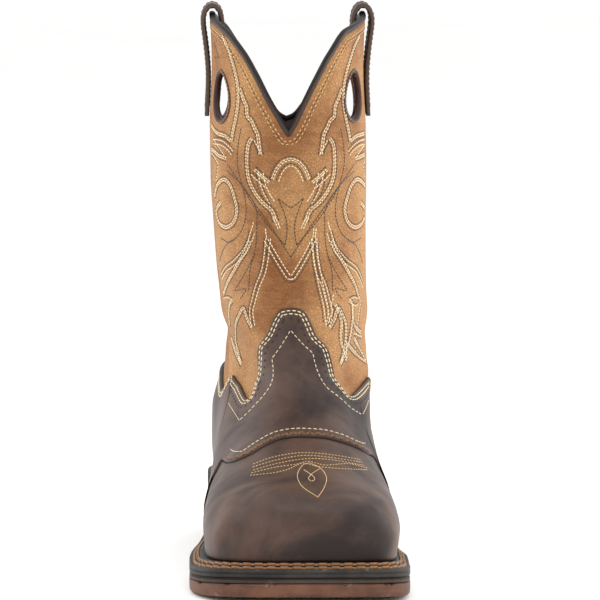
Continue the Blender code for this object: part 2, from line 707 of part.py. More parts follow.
def build_collar_piping(face):
    turns = UPPER_TURNS
    signed = np.where(turns > 180, turns - 360, turns)
    top = face.level_at(turns, edge_height(COLLAR_EDGE, signed))
    middle = face.point(turns, top, -LEATHER / 2 + 0 * turns)
    normal = face.lookup(face.normal, turns, top)
    normal[:, 2] = 0
    normal /= np.linalg.norm(normal, axis=1, keepdims=True)
    rings = []
    section = ((-0.5, 0.0), (-0.5, 0.55), (-0.25, 1.0), (0.25, 1.0), (0.5, 0.55), (0.5, 0.0))
    run = np.roll(middle, -1, 0) - np.roll(middle, 1, 0)
    run /= np.linalg.norm(run, axis=1, keepdims=True)
    lift = np.cross(normal, run)
    lift *= np.sign(lift[:, 2:3])
    for across, height in section:
        rings.append(middle + normal * across * PIPING_WIDTH
                     + lift * (GAP + height * PIPING_HEIGHT))
    closed_rings("collar_piping", rings, "dark_leather", 80.0)


def wall_x(face, side, y, z):
    """Outer face of the leg at its side, at y and z."""
    near = side * 90.0 + np.linspace(-45, 45, 91)
    level = face.level_at(side * 90.0, z)
    row = face.point(near, level + 0 * near)
    order = np.argsort(row[:, 1])
    return float(np.interp(y, row[order, 1], row[order, 0]))


def build_strap(face, name, side):
    knots = np.linspace(0, 1, len(STRAP_PATH))
    where = np.linspace(0, 1, STRAP_STEPS + 1)
    out = np.interp(where, knots, [row[1] for row in STRAP_PATH])
    up = np.interp(where, knots, [row[2] for row in STRAP_PATH])
    soft = np.array([0.25, 0.5, 0.25])
    for _ in range(2):
        out[1:-1] = np.convolve(out, soft, "valid")
        up[1:-1] = np.convolve(up, soft, "valid")
    d_out = np.gradient(out)
    d_up = np.gradient(up)
    size = np.hypot(d_out, d_up)
    n_out, n_up = d_up / size, -d_out / size
    across = np.linspace(-1, 1, STRAP_ACROSS + 1) * STRAP_HALF_WIDTH
    layers = []
    for offset in (-STRAP_THICK / 2, STRAP_THICK / 2):
        grid = np.zeros((STRAP_STEPS + 1, len(across), 3))
        for i in range(STRAP_STEPS + 1):
            for j, shift in enumerate(across):
                z = up[i] + n_up[i] * offset
                y = STRAP_MIDDLE_Y + shift
                x = wall_x(face, side, y, min(z, 306.0)) - side * LEATHER / 2
                grid[i, j] = (x + side * (out[i] + n_out[i] * offset), y, z)
        layers.append(grid)
    return patch_shell(name, layers[0], layers[1], "dark_leather")


def main():
    clear_objects()
    face = BootSurface()
    build_sole()
    build_heel()
    build_insole(face)
    build_upper(face)
    build_panels(face)
    build_bindings(face)
    build_collar_piping(face)
    build_strap(face, "pull_strap_in", 1)
    build_strap(face, "pull_strap_out", -1)


main()
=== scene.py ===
"""Western work boot, dressed: leathers, bindings, straps, stitching and sole.

Millimetres in the tables, metres in Blender. The toe points to -Y, +X is the inner side.
"""

from itertools import product
from math import radians

import bpy
import bmesh
import numpy as np
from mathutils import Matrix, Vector
from mathutils.bvhtree import BVHTree
from mathutils.kdtree import KDTree


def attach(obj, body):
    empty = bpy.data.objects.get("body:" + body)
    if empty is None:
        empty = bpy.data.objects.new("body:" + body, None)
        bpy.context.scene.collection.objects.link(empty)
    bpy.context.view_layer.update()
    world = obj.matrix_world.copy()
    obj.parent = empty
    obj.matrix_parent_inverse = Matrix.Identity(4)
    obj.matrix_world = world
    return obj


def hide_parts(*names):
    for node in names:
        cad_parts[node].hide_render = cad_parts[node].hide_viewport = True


bl_info = {
    "name": "Western Work Boot",
    "version": (1, 0, 0),
    "blender": (4, 5, 0),
    "location": "View3D > Sidebar > Boot",
    "description": "Leathers, bindings, pull straps, stitching and sole of a western work boot",
    "category": "Add Mesh",
}

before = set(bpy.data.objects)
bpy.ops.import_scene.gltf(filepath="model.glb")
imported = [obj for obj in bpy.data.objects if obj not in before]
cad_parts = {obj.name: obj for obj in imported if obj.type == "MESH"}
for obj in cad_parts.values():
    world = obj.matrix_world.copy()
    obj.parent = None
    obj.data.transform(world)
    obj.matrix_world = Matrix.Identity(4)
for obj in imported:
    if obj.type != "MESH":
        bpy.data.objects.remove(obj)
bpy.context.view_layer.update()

MM = 0.001
FRAME_SIDE = 600

# Seats and walls (mm)
GAP = 0.3
LEATHER = 2.2
TOE_PANEL = 1.2
SADDLE_PANEL = 2.3
COUNTER_PANEL = 1.9
OUTSOLE_THICK = 7.6
MIDSOLE_THICK = 3.0
WELT_EDGE = 4.9
WELT_RISE = 3.6
WELT_WIDTH = 17.0
WELT_SHOULDER = 6.0
HEEL_LIFT_THICK = 7.0
TOE_END_TURN = 68

# Shape of the upper. A row is a ring around the boot, from the feather line to above the
# collar. out is the outer (little toe) side, in the inner side. Stations run along the ring
# from its front (0) to its back (1).
RING_COLUMNS = ("name", "y_front", "x_front", "y_back", "x_back", "cap_front", "cap_back",
                "round_out", "round_in", "round_back",
                "out_ball", "out_waist", "out_seat", "in_ball", "in_waist", "in_seat",
                "z_front", "z_ball", "z_waist", "z_seat", "z_back")
BALL, WAIST, SEAT = 0.24, 0.60, 0.84
PLAN_STEPS = 600
RINGS = (
    ("feather", -254, 10, 39.5, 0, 60, 40, 2.5, 4.4, 2.4, -41.5, -35, -35.5, 60.3, 35, 36, 22.7,
     19.1, 30.8, 41.1, 41.6),
    ("bulge", -256.5, 10, 41.5, 0, 60, 42, 2.5, 4.0, 2.3, -42.7, -35.5, -37, 62.3, 40, 37.5, 38,
     35, 47, 58, 60),
    ("shoulder", -252.5, 10, 41, 0, 62, 42, 2.4, 3.3, 2.3, -39.5, -35.3, -36.7, 58.8, 45.5, 39.5,
     48.5, 48, 62, 76, 78),
    ("box_top", -238.5, 10, 36.5, 1, 66, 42, 2.2, 2.7, 2.3, -33.5, -33.5, -33.5, 52.5, 48.5, 42,
     56, 57.5, 75, 91, 93),
    ("vamp_low", -213.5, 10, 32.5, 3, 72, 42, 2.1, 2.4, 2.2, -24.5, -31, -31.5, 44, 49.5, 44, 62,
     70, 87, 103, 105),
    ("vamp_high", -184, 10, 31, 5, 75, 44, 2.05, 2.2, 2.2, -19, -29, -31, 39.5, 50, 47.0, 70.5,
     80, 98, 113.5, 115),
    ("instep_low", -149, 9, 30.5, 6, 75, 46, 2.0, 2.1, 2.2, -16, -28.5, -30.5, 37.5, 50.5, 49.3,
     83, 94, 109, 121.5, 123),
    ("instep_high", -119, 8.5, 31, 7, 70, 48, 2.0, 2.1, 2.2, -19, -29.8, -31, 41, 50.8, 50.5, 100,
     108, 121, 131, 132.5),
    ("throat", -99, 8, 32.5, 7, 62, 52, 2.1, 2.1, 2.2, -27, -33, -33.5, 47, 50.8, 50, 124, 129,
     137.5, 144.5, 146),
    ("ankle", -88, 7, 35, 6, 58, 56, 2.2, 2.2, 2.2, -33, -36, -36.5, 49, 50.8, 50, 150, 153, 158,
     161, 162),
    ("leg_low", -85.5, 6, 39, 6, 58, 60, 2.2, 2.2, 2.2, -37, -38.5, -38.5, 50.3, 51, 50.5, 180,
     182, 184.5, 186, 187),
    ("leg_mid", -87, 5, 44, 5, 60, 62, 2.2, 2.2, 2.2, -40, -40.5, -40.5, 50.8, 51, 50.7, 212, 213,
     214.5, 215.5, 216),
    ("leg_high", -90, 5, 48, 5, 62, 64, 2.2, 2.2, 2.2, -40.3, -40.3, -40, 50.2, 50.2, 49.7, 243,
     243, 243, 243, 243),
    ("leg_top", -92, 5, 50, 5, 62, 64, 2.2, 2.2, 2.2, -38.8, -38.8, -38.5, 48.6, 48.6, 48.2, 276,
     276, 276, 276, 276),
    ("collar_plane", -93, 5, 51.5, 5, 62, 64, 2.2, 2.2, 2.2, -39.6, -39.8, -39.5, 49.6, 49.6,
     49.2, 309, 309, 309, 309, 309),
)

# Outer edge of the welt, in plan, and the height of the outsole's underside
WELT_PLAN = dict(y_front=-263, x_front=10, y_back=47, x_back=0, cap_front=62, cap_back=42,
                 round_out=2.6, round_in=5.0, round_back=2.4,
                 out_ball=-51.8, out_waist=-41.2, out_seat=-41.7,
                 in_ball=69.0, in_waist=41.0, in_seat=42.5)
TREAD_PROFILE = (
    # place, along (y), height (z)
    ("toe", -263, 4.6),
    ("toe_roll", -232, 1.3),
    ("tread_front", -208, 0.0),
    ("tread_back", -140, 0.0),
    ("waist_start", -116, 2.0),
    ("waist", -80, 11.0),
    ("breast", -48, 18.5),
    ("seat", -15, 22.0),
    ("heel_back", 47, 22.5),
)

# Panel edges on the upper: turn 0 is the front, +90 the inner side, -90 the outer side
COLLAR_EDGE = (
    ("back", -180, 240.5), ("back_curve_out", -175, 243.5), ("back_rise_out", -167, 256.0),
    ("back_slope_out", -158, 270.0), ("back_top_out", -147, 285.0),
    ("back_crest_out", -131, 298.0), ("peak_out", -95, 306.0),
    ("crest_out", -60, 303.0), ("top_out", -42, 297.5), ("slope_out", -29, 287.5),
    ("rise_out", -21, 276.5), ("low_out", -13.5, 263.0), ("foot_out", -7.5, 252.5),
    ("curve_out", -3, 244.5), ("front", -0.5, 241.3), ("curve_in", 2.0, 244.5),
    ("rise_in", 9.5, 260.0), ("slope_in", 15.5, 271.5), ("top_in", 24.5, 286.0),
    ("crest_in", 38, 299.0), ("peak_in", 95, 306.0),
    ("back_crest_in", 131, 294.0), ("back_top_in", 147, 279.0),
    ("back_slope_in", 158, 265.0), ("back_rise_in", 167, 252.0),
    ("back_curve_in", 175, 242.5), ("back_again", 180, 240.5),
)
TONGUE_EDGE = (
    ("side_out", -90, 101.5), ("rise_out", -72, 96.5), ("dip_out", -57, 91.5),
    ("climb_out", -42, 98.5), ("neck_out", -30, 105.0), ("waist_out", -26, 113.0),
    ("shoulder_out", -24, 120.5), ("slope_out", -17, 128.0), ("corner_out", -12, 137.5),
    ("tip_out", -8, 142.0), ("tip", -1, 143.2), ("tip_in", 6, 141.5),
    ("corner_in", 9, 136.5), ("slope_in", 12.5, 127.5), ("shoulder_in", 19, 120.5),
    ("waist_in", 21.5, 113.5), ("neck_in", 24.5, 105.0), ("climb_in", 34, 99.0),
    ("dip_in", 55, 93.5), ("rise_in", 70, 95.5), ("side_in", 90, 100.0),
)
COUNTER_EDGE = (
    ("side_in", 90, 100.0), ("swoop_in", 118, 91.0), ("rise_in", 150, 101.0),
    ("back", 180, 108.0), ("rise_out", 210, 101.0), ("swoop_out", 242, 91.0),
    ("side_out", 270, 101.5),
)
SADDLE_EDGE = (
    ("base_out", -78, 22.0), ("fall_out", -71, 42.0), ("notch_out", -65, 62.5),
    ("hollow_out", -56, 63.0), ("wing_out", -43, 65.0), ("slope_out", -31, 68.8),
    ("shoulder_out", -19, 73.8), ("crown_out", -8, 76.9), ("crown", 0, 77.7),
    ("crown_in", 9.5, 77.2), ("shoulder_in", 21, 75.2), ("slope_in", 37, 71.6),
    ("wing_in", 54, 66.9), ("tip_in", 66, 63.5), ("fall_in", 72, 43.0),
    ("base_in", 79, 22.0),
)

# Pull holes: turn around the leg, height of the middle, half sizes of the opening
HOLES = (
    ("front_out", -50, 262.0), ("front_in", 47, 262.5),
    ("back_out", -130, 258.0), ("back_in", 130, 257.0),
)
HOLE_HALF_WIDTH = 9.8
HOLE_HALF_HEIGHT = 13.0
HOLE_BINDING = 3.2
HOLE_LIP = 0.7
HOLE_NARROWING = 0.16
HOLE_DEPTH = 12.0
HOLE_SEAM = 0.62
HOLE_REACH = 40
HOLE_RAYS = 161

# Pull straps: distance out from the middle of the wall, height
STRAP_PATH = (
    ("outer_end", 2.75, 249.0), ("outer_leg", 2.9, 274.0), ("outer_swell", 4.6, 294.0),
    ("outer_top", 5.8, 304.0), ("crown_out", 4.2, 310.6), ("crown", 0.0, 313.4),
    ("crown_in", -4.2, 310.6), ("inner_top", -5.8, 304.0), ("inner_swell", -4.6, 292.0),
    ("inner_leg", -2.9, 270.0), ("inner_end", -2.75, 243.0),
)
STRAP_THICK = 2.5
STRAP_HALF_WIDTH = 16.0
STRAP_MIDDLE_Y = -20.5
STRAP_STEPS = 22

CACHE = {}


def monotone(knots, values, where):
    """Smooth curve through the knots that does not overshoot."""
    knots = np.asarray(knots, float)
    values = np.asarray(values, float)
    step = np.diff(knots)
    rise = np.diff(values) / step
    slope = np.zeros_like(values)
    slope[0] = rise[0]
    slope[-1] = rise[-1]
    for i in range(1, len(values) - 1):
        if rise[i - 1] * rise[i] > 0:
            left = 2 * step[i] + step[i - 1]
            right = step[i] + 2 * step[i - 1]
            slope[i] = (left + right) / (left / rise[i - 1] + right / rise[i])
    at = np.clip(np.asarray(where, float), knots[0], knots[-1])
    k = np.clip(np.searchsorted(knots, at, side="right") - 1, 0, len(step) - 1)
    h = step[k]
    t = (at - knots[k]) / h
    start = values[k] * (1 + 2 * t) * (1 - t) ** 2 + values[k + 1] * t * t * (3 - 2 * t)
    return start + h * (slope[k] * t * (1 - t) ** 2 + slope[k + 1] * t * t * (t - 1))


def ring_row(level):
    """The ring's row at a level between the table's rows."""
    knots = np.arange(len(RINGS), dtype=float)
    return {column: float(monotone(knots, [row[k + 1] for row in RINGS], level))
            for k, column in enumerate(RING_COLUMNS[1:])}


def run_of(x, y):
    """Length along a plane line up to each of its points."""
    return np.concatenate(([0], np.cumsum(np.hypot(np.diff(x), np.diff(y)))))


def plan_half(row, side, count, inset=0.0):
    """Half outline of a ring from its front to its back, count + 1 points evenly spaced.
    Returns x, y and the station of each point."""
    prefix = "in_" if side > 0 else "out_"
    front = row["y_front"] + inset
    back = row["y_back"] - inset
    station = 0.5 - 0.5 * np.cos(np.linspace(0, np.pi, PLAN_STEPS))
    y = front + (back - front) * station
    reach = monotone((0, BALL, WAIST, SEAT, 1),
                     (row[prefix + "ball"], row[prefix + "ball"], row[prefix + "waist"],
                      row[prefix + "seat"], row[prefix + "seat"]), station)
    reach = reach - side * inset
    middle = row["x_front"] + (row["x_back"] - row["x_front"]) * station
    power = row["round_in"] if side > 0 else row["round_out"]
    ahead = np.clip((front + row["cap_front"] - y) / row["cap_front"], 0, 1)
    behind = np.clip((y - back + row["cap_back"]) / row["cap_back"], 0, 1)
    cap = (1 - ahead ** power) ** (1 / power)
    cap = cap * (1 - behind ** row["round_back"]) ** (1 / row["round_back"])
    x = middle + (reach - middle) * cap
    run = run_of(x, y)
    even = np.linspace(0, run[-1], count + 1)
    return np.interp(even, run, x), np.interp(even, run, y), np.interp(even, run, station)


def z_feather(station):
    return monotone((0, BALL, WAIST, SEAT, 1), RINGS[0][16:21], station)


def tread_height(y):
    return monotone([row[1] for row in TREAD_PROFILE], [row[2] for row in TREAD_PROFILE], y)


def feather_height(y):
    return tread_height(y) + OUTSOLE_THICK + MIDSOLE_THICK + WELT_EDGE + WELT_RISE


def place_half(points, block, side):
    """Set half a ring's points: the inner side from the front, the outer from the back."""
    half = len(points) // 2
    if side > 0:
        points[:half + 1] = block
    else:
        points[half + 1:] = block[::-1][1:-1]


def ring_points(level, count):
    """Closed ring of count points: inner side from front to back, outer side back to front."""
    row = ring_row(level)
    heights = [row["z_" + part] for part in ("front", "ball", "waist", "seat", "back")]
    half = count // 2
    points = np.zeros((count, 3))
    for side in (1, -1):
        x, y, station = plan_half(row, side, half)
        z = monotone((0, BALL, WAIST, SEAT, 1), heights, station)
        if level < 1:
            z = z + (feather_height(y) - z_feather(station)) * (1 - level) ** 2
        block = np.stack([x, y, z], axis=1)
        place_half(points, block, side)
    return points


FINE_LEVELS = 12
FINE_AROUND = 480


class BootSurface:
    """Outer face of the upper as a fine grid over turn and level, with its normals."""

    def __init__(self):
        self.levels = np.linspace(0, len(RINGS) - 1, (len(RINGS) - 1) * FINE_LEVELS + 1)
        self.grid = np.stack([ring_points(v, FINE_AROUND) for v in self.levels])
        around = np.roll(self.grid, -1, 1) - np.roll(self.grid, 1, 1)
        upward = np.gradient(self.grid, axis=0)
        normal = np.cross(around, upward)
        self.normal = normal / np.linalg.norm(normal, axis=2, keepdims=True)

    def lookup(self, field, turn, level):
        turn = np.asarray(turn, float)
        column = (turn % 360.0) / 360.0 * FINE_AROUND
        row = np.clip(np.asarray(level, float), 0, self.levels[-1]) * FINE_LEVELS
        i = np.clip(np.floor(row).astype(int), 0, len(self.levels) - 2)
        j = np.floor(column).astype(int) % FINE_AROUND
        a = (row - i)[..., None]
        b = (column - np.floor(column))[..., None]
        k = (j + 1) % FINE_AROUND
        low = field[i, j] * (1 - b) + field[i, k] * b
        high = field[i + 1, j] * (1 - b) + field[i + 1, k] * b
        return low * (1 - a) + high * a

    def point(self, turn, level, out=0.0):
        """Point at a turn and level, moved out of the face by out millimetres."""
        base = self.lookup(self.grid, turn, level)
        normal = self.lookup(self.normal, turn, level)
        normal = normal / np.linalg.norm(normal, axis=-1, keepdims=True)
        return base + normal * np.asarray(out, float)[..., None]

    def level_at(self, turn, height):
        """Level at which the face reaches a height, for each turn."""
        turn, height = np.broadcast_arrays(np.asarray(turn, float), height)
        found = np.zeros(turn.shape)
        for index in np.ndindex(turn.shape):
            column = (turn[index] % 360.0) / 360.0 * FINE_AROUND
            j = int(np.floor(column)) % FINE_AROUND
            b = column - np.floor(column)
            z = self.grid[:, j, 2] * (1 - b) + self.grid[:, (j + 1) % FINE_AROUND, 2] * b
            found[index] = np.interp(height[index], z, self.levels)
        return found


def edge_height(table, turn):
    return monotone([row[1] for row in table], [row[2] for row in table], turn)


def boot_face():
    """The shared face of the upper, worked out once."""
    if "face" not in CACHE:
        CACHE["face"] = BootSurface()
    return CACHE["face"]


# ---------------------------------------------------------------- looking from the front

VIEW_TARGET = (10.7, -110.0, 150.0)
VIEW_DISTANCE = 3000.0
VIEW_PITCH = 6.0
VIEW_YAW = 1.0
VIEW_FOCUS = 5310.0
BACK_MIRROR = 22.0
GRAZING = 0.16


class Sight:
    """Rays through the picture's frame, from the front or, turned about, from the back."""

    def __init__(self, behind=False):
        pitch, yaw = radians(VIEW_PITCH), radians(VIEW_YAW)
        self.ahead = np.array([np.sin(yaw) * np.cos(pitch), np.cos(yaw) * np.cos(pitch),
                               -np.sin(pitch)])
        self.right = np.array([np.cos(yaw), -np.sin(yaw), 0.0])
        self.up = np.cross(self.right, self.ahead)
        self.eye = np.array(VIEW_TARGET) - VIEW_DISTANCE * self.ahead
        self.behind = behind

    def ray(self, across, down):
        way = (self.ahead * VIEW_FOCUS + self.right * (across - FRAME_SIDE / 2)
               - self.up * (down - FRAME_SIDE / 2))
        eye = self.eye.copy()
        if self.behind:
            eye[1] = -2 * BACK_MIRROR - eye[1]
            way[1] = -way[1]
        return eye, way / np.linalg.norm(way)

    def hit(self, net, across, down):
        eye, way = self.ray(across, down)
        place, normal, _, _ = net.ray_cast(Vector(eye), Vector(way))
        if place is None or -normal.dot(Vector(way)) < GRAZING:
            return None
        return np.array(place), np.array(normal)


# ---------------------------------------------------------------- meshes


def grid_quads(rows, columns, closed=False):
    i, j = np.meshgrid(np.arange(rows - 1), np.arange(columns - (not closed)), indexing="ij")
    k = (j + 1) % columns
    return np.stack([i * columns + j, i * columns + k, (i + 1) * columns + k,
                     (i + 1) * columns + j], axis=-1)


def shell_faces(rows, columns, keep, closed=False):
    """Quads of a thin solid: outer face, inner face and the rim round what is kept."""
    quads = grid_quads(rows, columns, closed)
    shift = rows * columns
    outer = quads[keep]
    inner = outer[:, ::-1] + shift
    wide = np.zeros((keep.shape[0] + 2, keep.shape[1] + 2), bool)
    wide[1:-1, 1:-1] = keep
    if closed:
        wide[1:-1, 0] = keep[:, -1]
        wide[1:-1, -1] = keep[:, 0]
    rims = []
    for (di, dj), (a, b) in (((-1, 0), (0, 1)), ((0, 1), (1, 2)), ((1, 0), (2, 3)),
                             ((0, -1), (3, 0))):
        beside = wide[1 + di:wide.shape[0] - 1 + di, 1 + dj:wide.shape[1] - 1 + dj]
        edge = quads[keep & ~beside]
        rims.append(np.stack([edge[:, b], edge[:, a], edge[:, a] + shift,
                              edge[:, b] + shift], axis=-1))
    return outer, inner, np.concatenate(rims)


def mesh_piece(name, points, faces, skins, slots=None, marks=None, sharp=None,
               replaces=()):
    """Object from points in millimetres; it rides on the boot's one body."""
    mesh = bpy.data.meshes.new(name)
    mesh.from_pydata((np.asarray(points) * MM).tolist(), [],
                     [tuple(int(v) for v in face) for face in faces])
    for skin in skins:
        mesh.materials.append(skin)
    if slots is not None:
        mesh.polygons.foreach_set("material_index", np.asarray(slots, np.int32))
    for key, values in (marks or {}).items():
        layer = mesh.attributes.new(key, "FLOAT", "POINT")
        layer.data.foreach_set("value", np.asarray(values, np.float32))
    mesh.shade_smooth()
    if sharp:
        mesh.set_sharp_from_angle(angle=radians(sharp))
    mesh.update()
    piece = bpy.data.objects.new(name, mesh)
    bpy.context.scene.collection.objects.link(piece)
    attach(piece, "root")
    if replaces:
        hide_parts(*replaces)
    return piece


def face_outward(piece):
    work = bmesh.new()
    work.from_mesh(piece.data)
    bmesh.ops.recalc_face_normals(work, faces=work.faces)
    work.to_mesh(piece.data)
    work.free()


def net_of(points, faces):
    return BVHTree.FromPolygons([tuple(p) for p in np.asarray(points)],
                                [tuple(int(v) for v in f) for f in faces])


def base_net():
    """Plain face of the boot, to find places on before anything is built."""
    if "base" not in CACHE:
        grid = boot_face().grid
        quads = grid_quads(grid.shape[0], grid.shape[1], True).reshape(-1, 4)
        CACHE["base"] = net_of(grid.reshape(-1, 3), quads)
    return CACHE["base"]


# ---------------------------------------------------------------- creases and painted light and shade

# Soft folds seen from the front: frame places of both ends, reach and rise (mm)
CREASES_SEEN = (
    # name, across, down, across to, down to, reach, rise
    ("ankle_fold_out", 226, 363, 247, 380, 5.0, -1.5),
    ("ankle_roll_out", 226, 352, 243, 368, 6.0, 1.0),
    ("ankle_dip_out", 236, 392, 243, 378, 5.0, -0.9),
    ("ankle_roll_in", 371, 366, 352, 380, 7.0, 1.5),
    ("ankle_dip_in", 369, 386, 350, 392, 6.0, -1.1),
    ("tongue_line_high", 276, 351, 306, 349, 2.2, -0.35),
    ("tongue_line_low", 272, 366, 292, 370, 2.0, -0.40),
    ("tongue_line_mid", 279, 358, 300, 359, 1.6, 0.25),
    ("instep_hollow", 306, 396, 322, 412, 13.0, -0.9),
    ("instep_hollow_out", 250, 418, 262, 404, 9.0, -0.5),
    ("toe_ridge_out", 231, 503, 217, 540, 5.0, 0.9),
    ("toe_hollow_out", 240, 520, 232, 548, 8.0, -0.5),
    ("toe_hollow_in", 366, 520, 376, 530, 9.0, -1.0),
    ("toe_ridge_in", 391, 520, 395, 556, 5.0, 0.7),
    ("toe_dip_low", 300, 550, 340, 552, 9.0, -0.4),
    ("shaft_hollow", 262, 300, 272, 330, 9.0, -0.5),
    ("shaft_hollow_in", 322, 306, 312, 330, 9.0, -0.4),
)
# Folds all round: turn and height of both ends
CREASES_AROUND = (
    # name, turn, height, turn to, height to, reach, rise
    ("ankle_back_fold", 158, 132, 202, 130, 6.0, -1.3),
    ("ankle_back_roll", 152, 143, 208, 141, 7.0, 0.9),
    ("ankle_back_fold_high", 165, 156, 196, 154, 6.0, -0.7),
    ("ankle_side_fold_in", 72, 118, 118, 128, 7.0, -1.1),
    ("ankle_side_roll_in", 68, 128, 116, 139, 8.0, 0.8),
    ("ankle_side_fold_out", -72, 118, -118, 128, 7.0, -1.1),
    ("ankle_side_roll_out", -68, 128, -116, 139, 8.0, 0.8),
    ("vamp_break_in", 62, 66, 44, 78, 7.0, -0.6),
    ("vamp_break_out", -62, 60, -46, 74, 7.0, -0.6),
    ("leg_hollow_in", 88, 180, 96, 232, 16.0, -0.9),
    ("leg_hollow_out", -88, 182, -94, 236, 16.0, -0.9),
    ("leg_hollow_back", 176, 180, 184, 226, 18.0, -0.8),
)
CREASE_STEPS = 14

# Painted shade (above 0.5) and painted light (below 0.5) on the tan leather, as frame places
SHADES_SEEN = (
    # name, across, down, across to, down to, reach, change
    ("front_v", 272, 112, 284, 165, 9.0, 0.30),
    ("front_v_in", 306, 116, 300, 150, 8.0, 0.12),
    ("middle_low", 262, 214, 270, 250, 9.0, 0.20),
    ("under_m", 272, 276, 286, 300, 12.0, 0.28),
    ("over_tongue", 262, 306, 276, 316, 10.0, 0.20),
    ("arch", 284, 176, 296, 192, 9.0, -0.16),
    ("side_out_light", 217, 150, 221, 310, 12.0, -0.32),
    ("side_in_light", 362, 150, 364, 330, 13.0, -0.52),
    ("hole_out_light", 236, 60, 240, 96, 9.0, -0.12),
    ("hole_in_light", 342, 56, 338, 96, 9.0, -0.12),
    ("ankle_out_light", 230, 350, 240, 392, 8.0, -0.16),
    ("ankle_in_light", 362, 350, 360, 392, 8.0, -0.10),
)
# Painted shade and painted light on the brown leather, the same way
SHADES_VAMP = (
    # name, across, down, across to, down to, reach, change
    ("vamp_side_out", 206, 400, 216, 440, 15.0, -0.26),
    ("vamp_middle", 300, 396, 322, 414, 15.0, 0.24),
    ("tongue", 284, 330, 290, 352, 10.0, 0.16),
    ("vamp_side_in", 350, 406, 362, 436, 14.0, 0.42),
    # painted highlight streak down the toe's outer bend
    ("toe_streak_out", 231, 500, 216, 545, 5.0, -0.75),
    ("toe_side_out", 213, 470, 206, 520, 8.0, -0.10),
    ("toe_dark_low", 268, 553, 384, 553, 7.0, 0.34),
    ("toe_dark_in", 362, 512, 374, 532, 9.0, 0.34),
    # painted highlight streak down the toe's inner bend
    ("toe_streak_in", 392, 515, 396, 556, 5.0, -0.80),
    ("toe_top", 262, 505, 340, 512, 16.0, 0.14),
    # slightly lighter low on the toe
    ("toe_scuff", 262, 522, 282, 548, 9.0, -0.07),
)


def places_seen(row):
    """Points on the boot along a table row given as frame places."""
    sight = Sight()
    found = []
    for share in np.linspace(0, 1, CREASE_STEPS):
        across = row[1] + (row[3] - row[1]) * share
        down = row[2] + (row[4] - row[2]) * share
        for shift in (0, 2, -2, 4, -4, 7, -7):
            spot = sight.hit(base_net(), across + shift, down)
            if spot is not None:
                found.append(spot[0])
                break
    return np.array(found)


def places_around(row):
    face = boot_face()
    turn = np.linspace(row[1], row[3], CREASE_STEPS)
    height = np.linspace(row[2], row[4], CREASE_STEPS)
    return face.point(turn, face.level_at(turn, height), 0 * turn)


def soft_sum(points, lines):
    """Sum of soft strokes at points; each line is its places, reach and size."""
    flat = points.reshape(-1, 3)
    total = np.zeros(len(flat))
    for places, reach, size in lines:
        if len(places) < 2:
            continue
        taper = np.sin(np.linspace(0.18, 0.82, len(places)) * np.pi)
        low = places.min(axis=0) - 3 * reach
        high = places.max(axis=0) + 3 * reach
        near = np.flatnonzero(((flat > low) & (flat < high)).all(axis=1))
        gap = np.linalg.norm(flat[near][:, None, :] - places[None], axis=2) / reach
        total[near] += size * (np.exp(-gap ** 2) * taper).max(axis=1)
    return total.reshape(points.shape[:-1])


def crease_rise(points):
    if "creases" not in CACHE:
        CACHE["creases"] = ([(places_seen(row), row[5], row[6]) for row in CREASES_SEEN]
                            + [(places_around(row), row[5], row[6])
                               for row in CREASES_AROUND])
    return soft_sum(points, CACHE["creases"])


# Painted light and shade: 0.5 plus the soft strokes of a table; above 0.5 is shaded, below is lit
def shade_marks(points, table, both_sides=False):
    key = "shade_" + table[0][0]
    if key not in CACHE:
        lines = [(places_seen(row), row[5], row[6]) for row in table]
        if both_sides:
            turned = [(places * (1, -1, 1) - (0, 2 * BACK_MIRROR, 0), reach, size)
                      for places, reach, size in lines]
            lines = lines + turned
        CACHE[key] = lines
    return np.clip(0.5 + soft_sum(points, CACHE[key]), 0, 1)


# ---------------------------------------------------------------- finishes


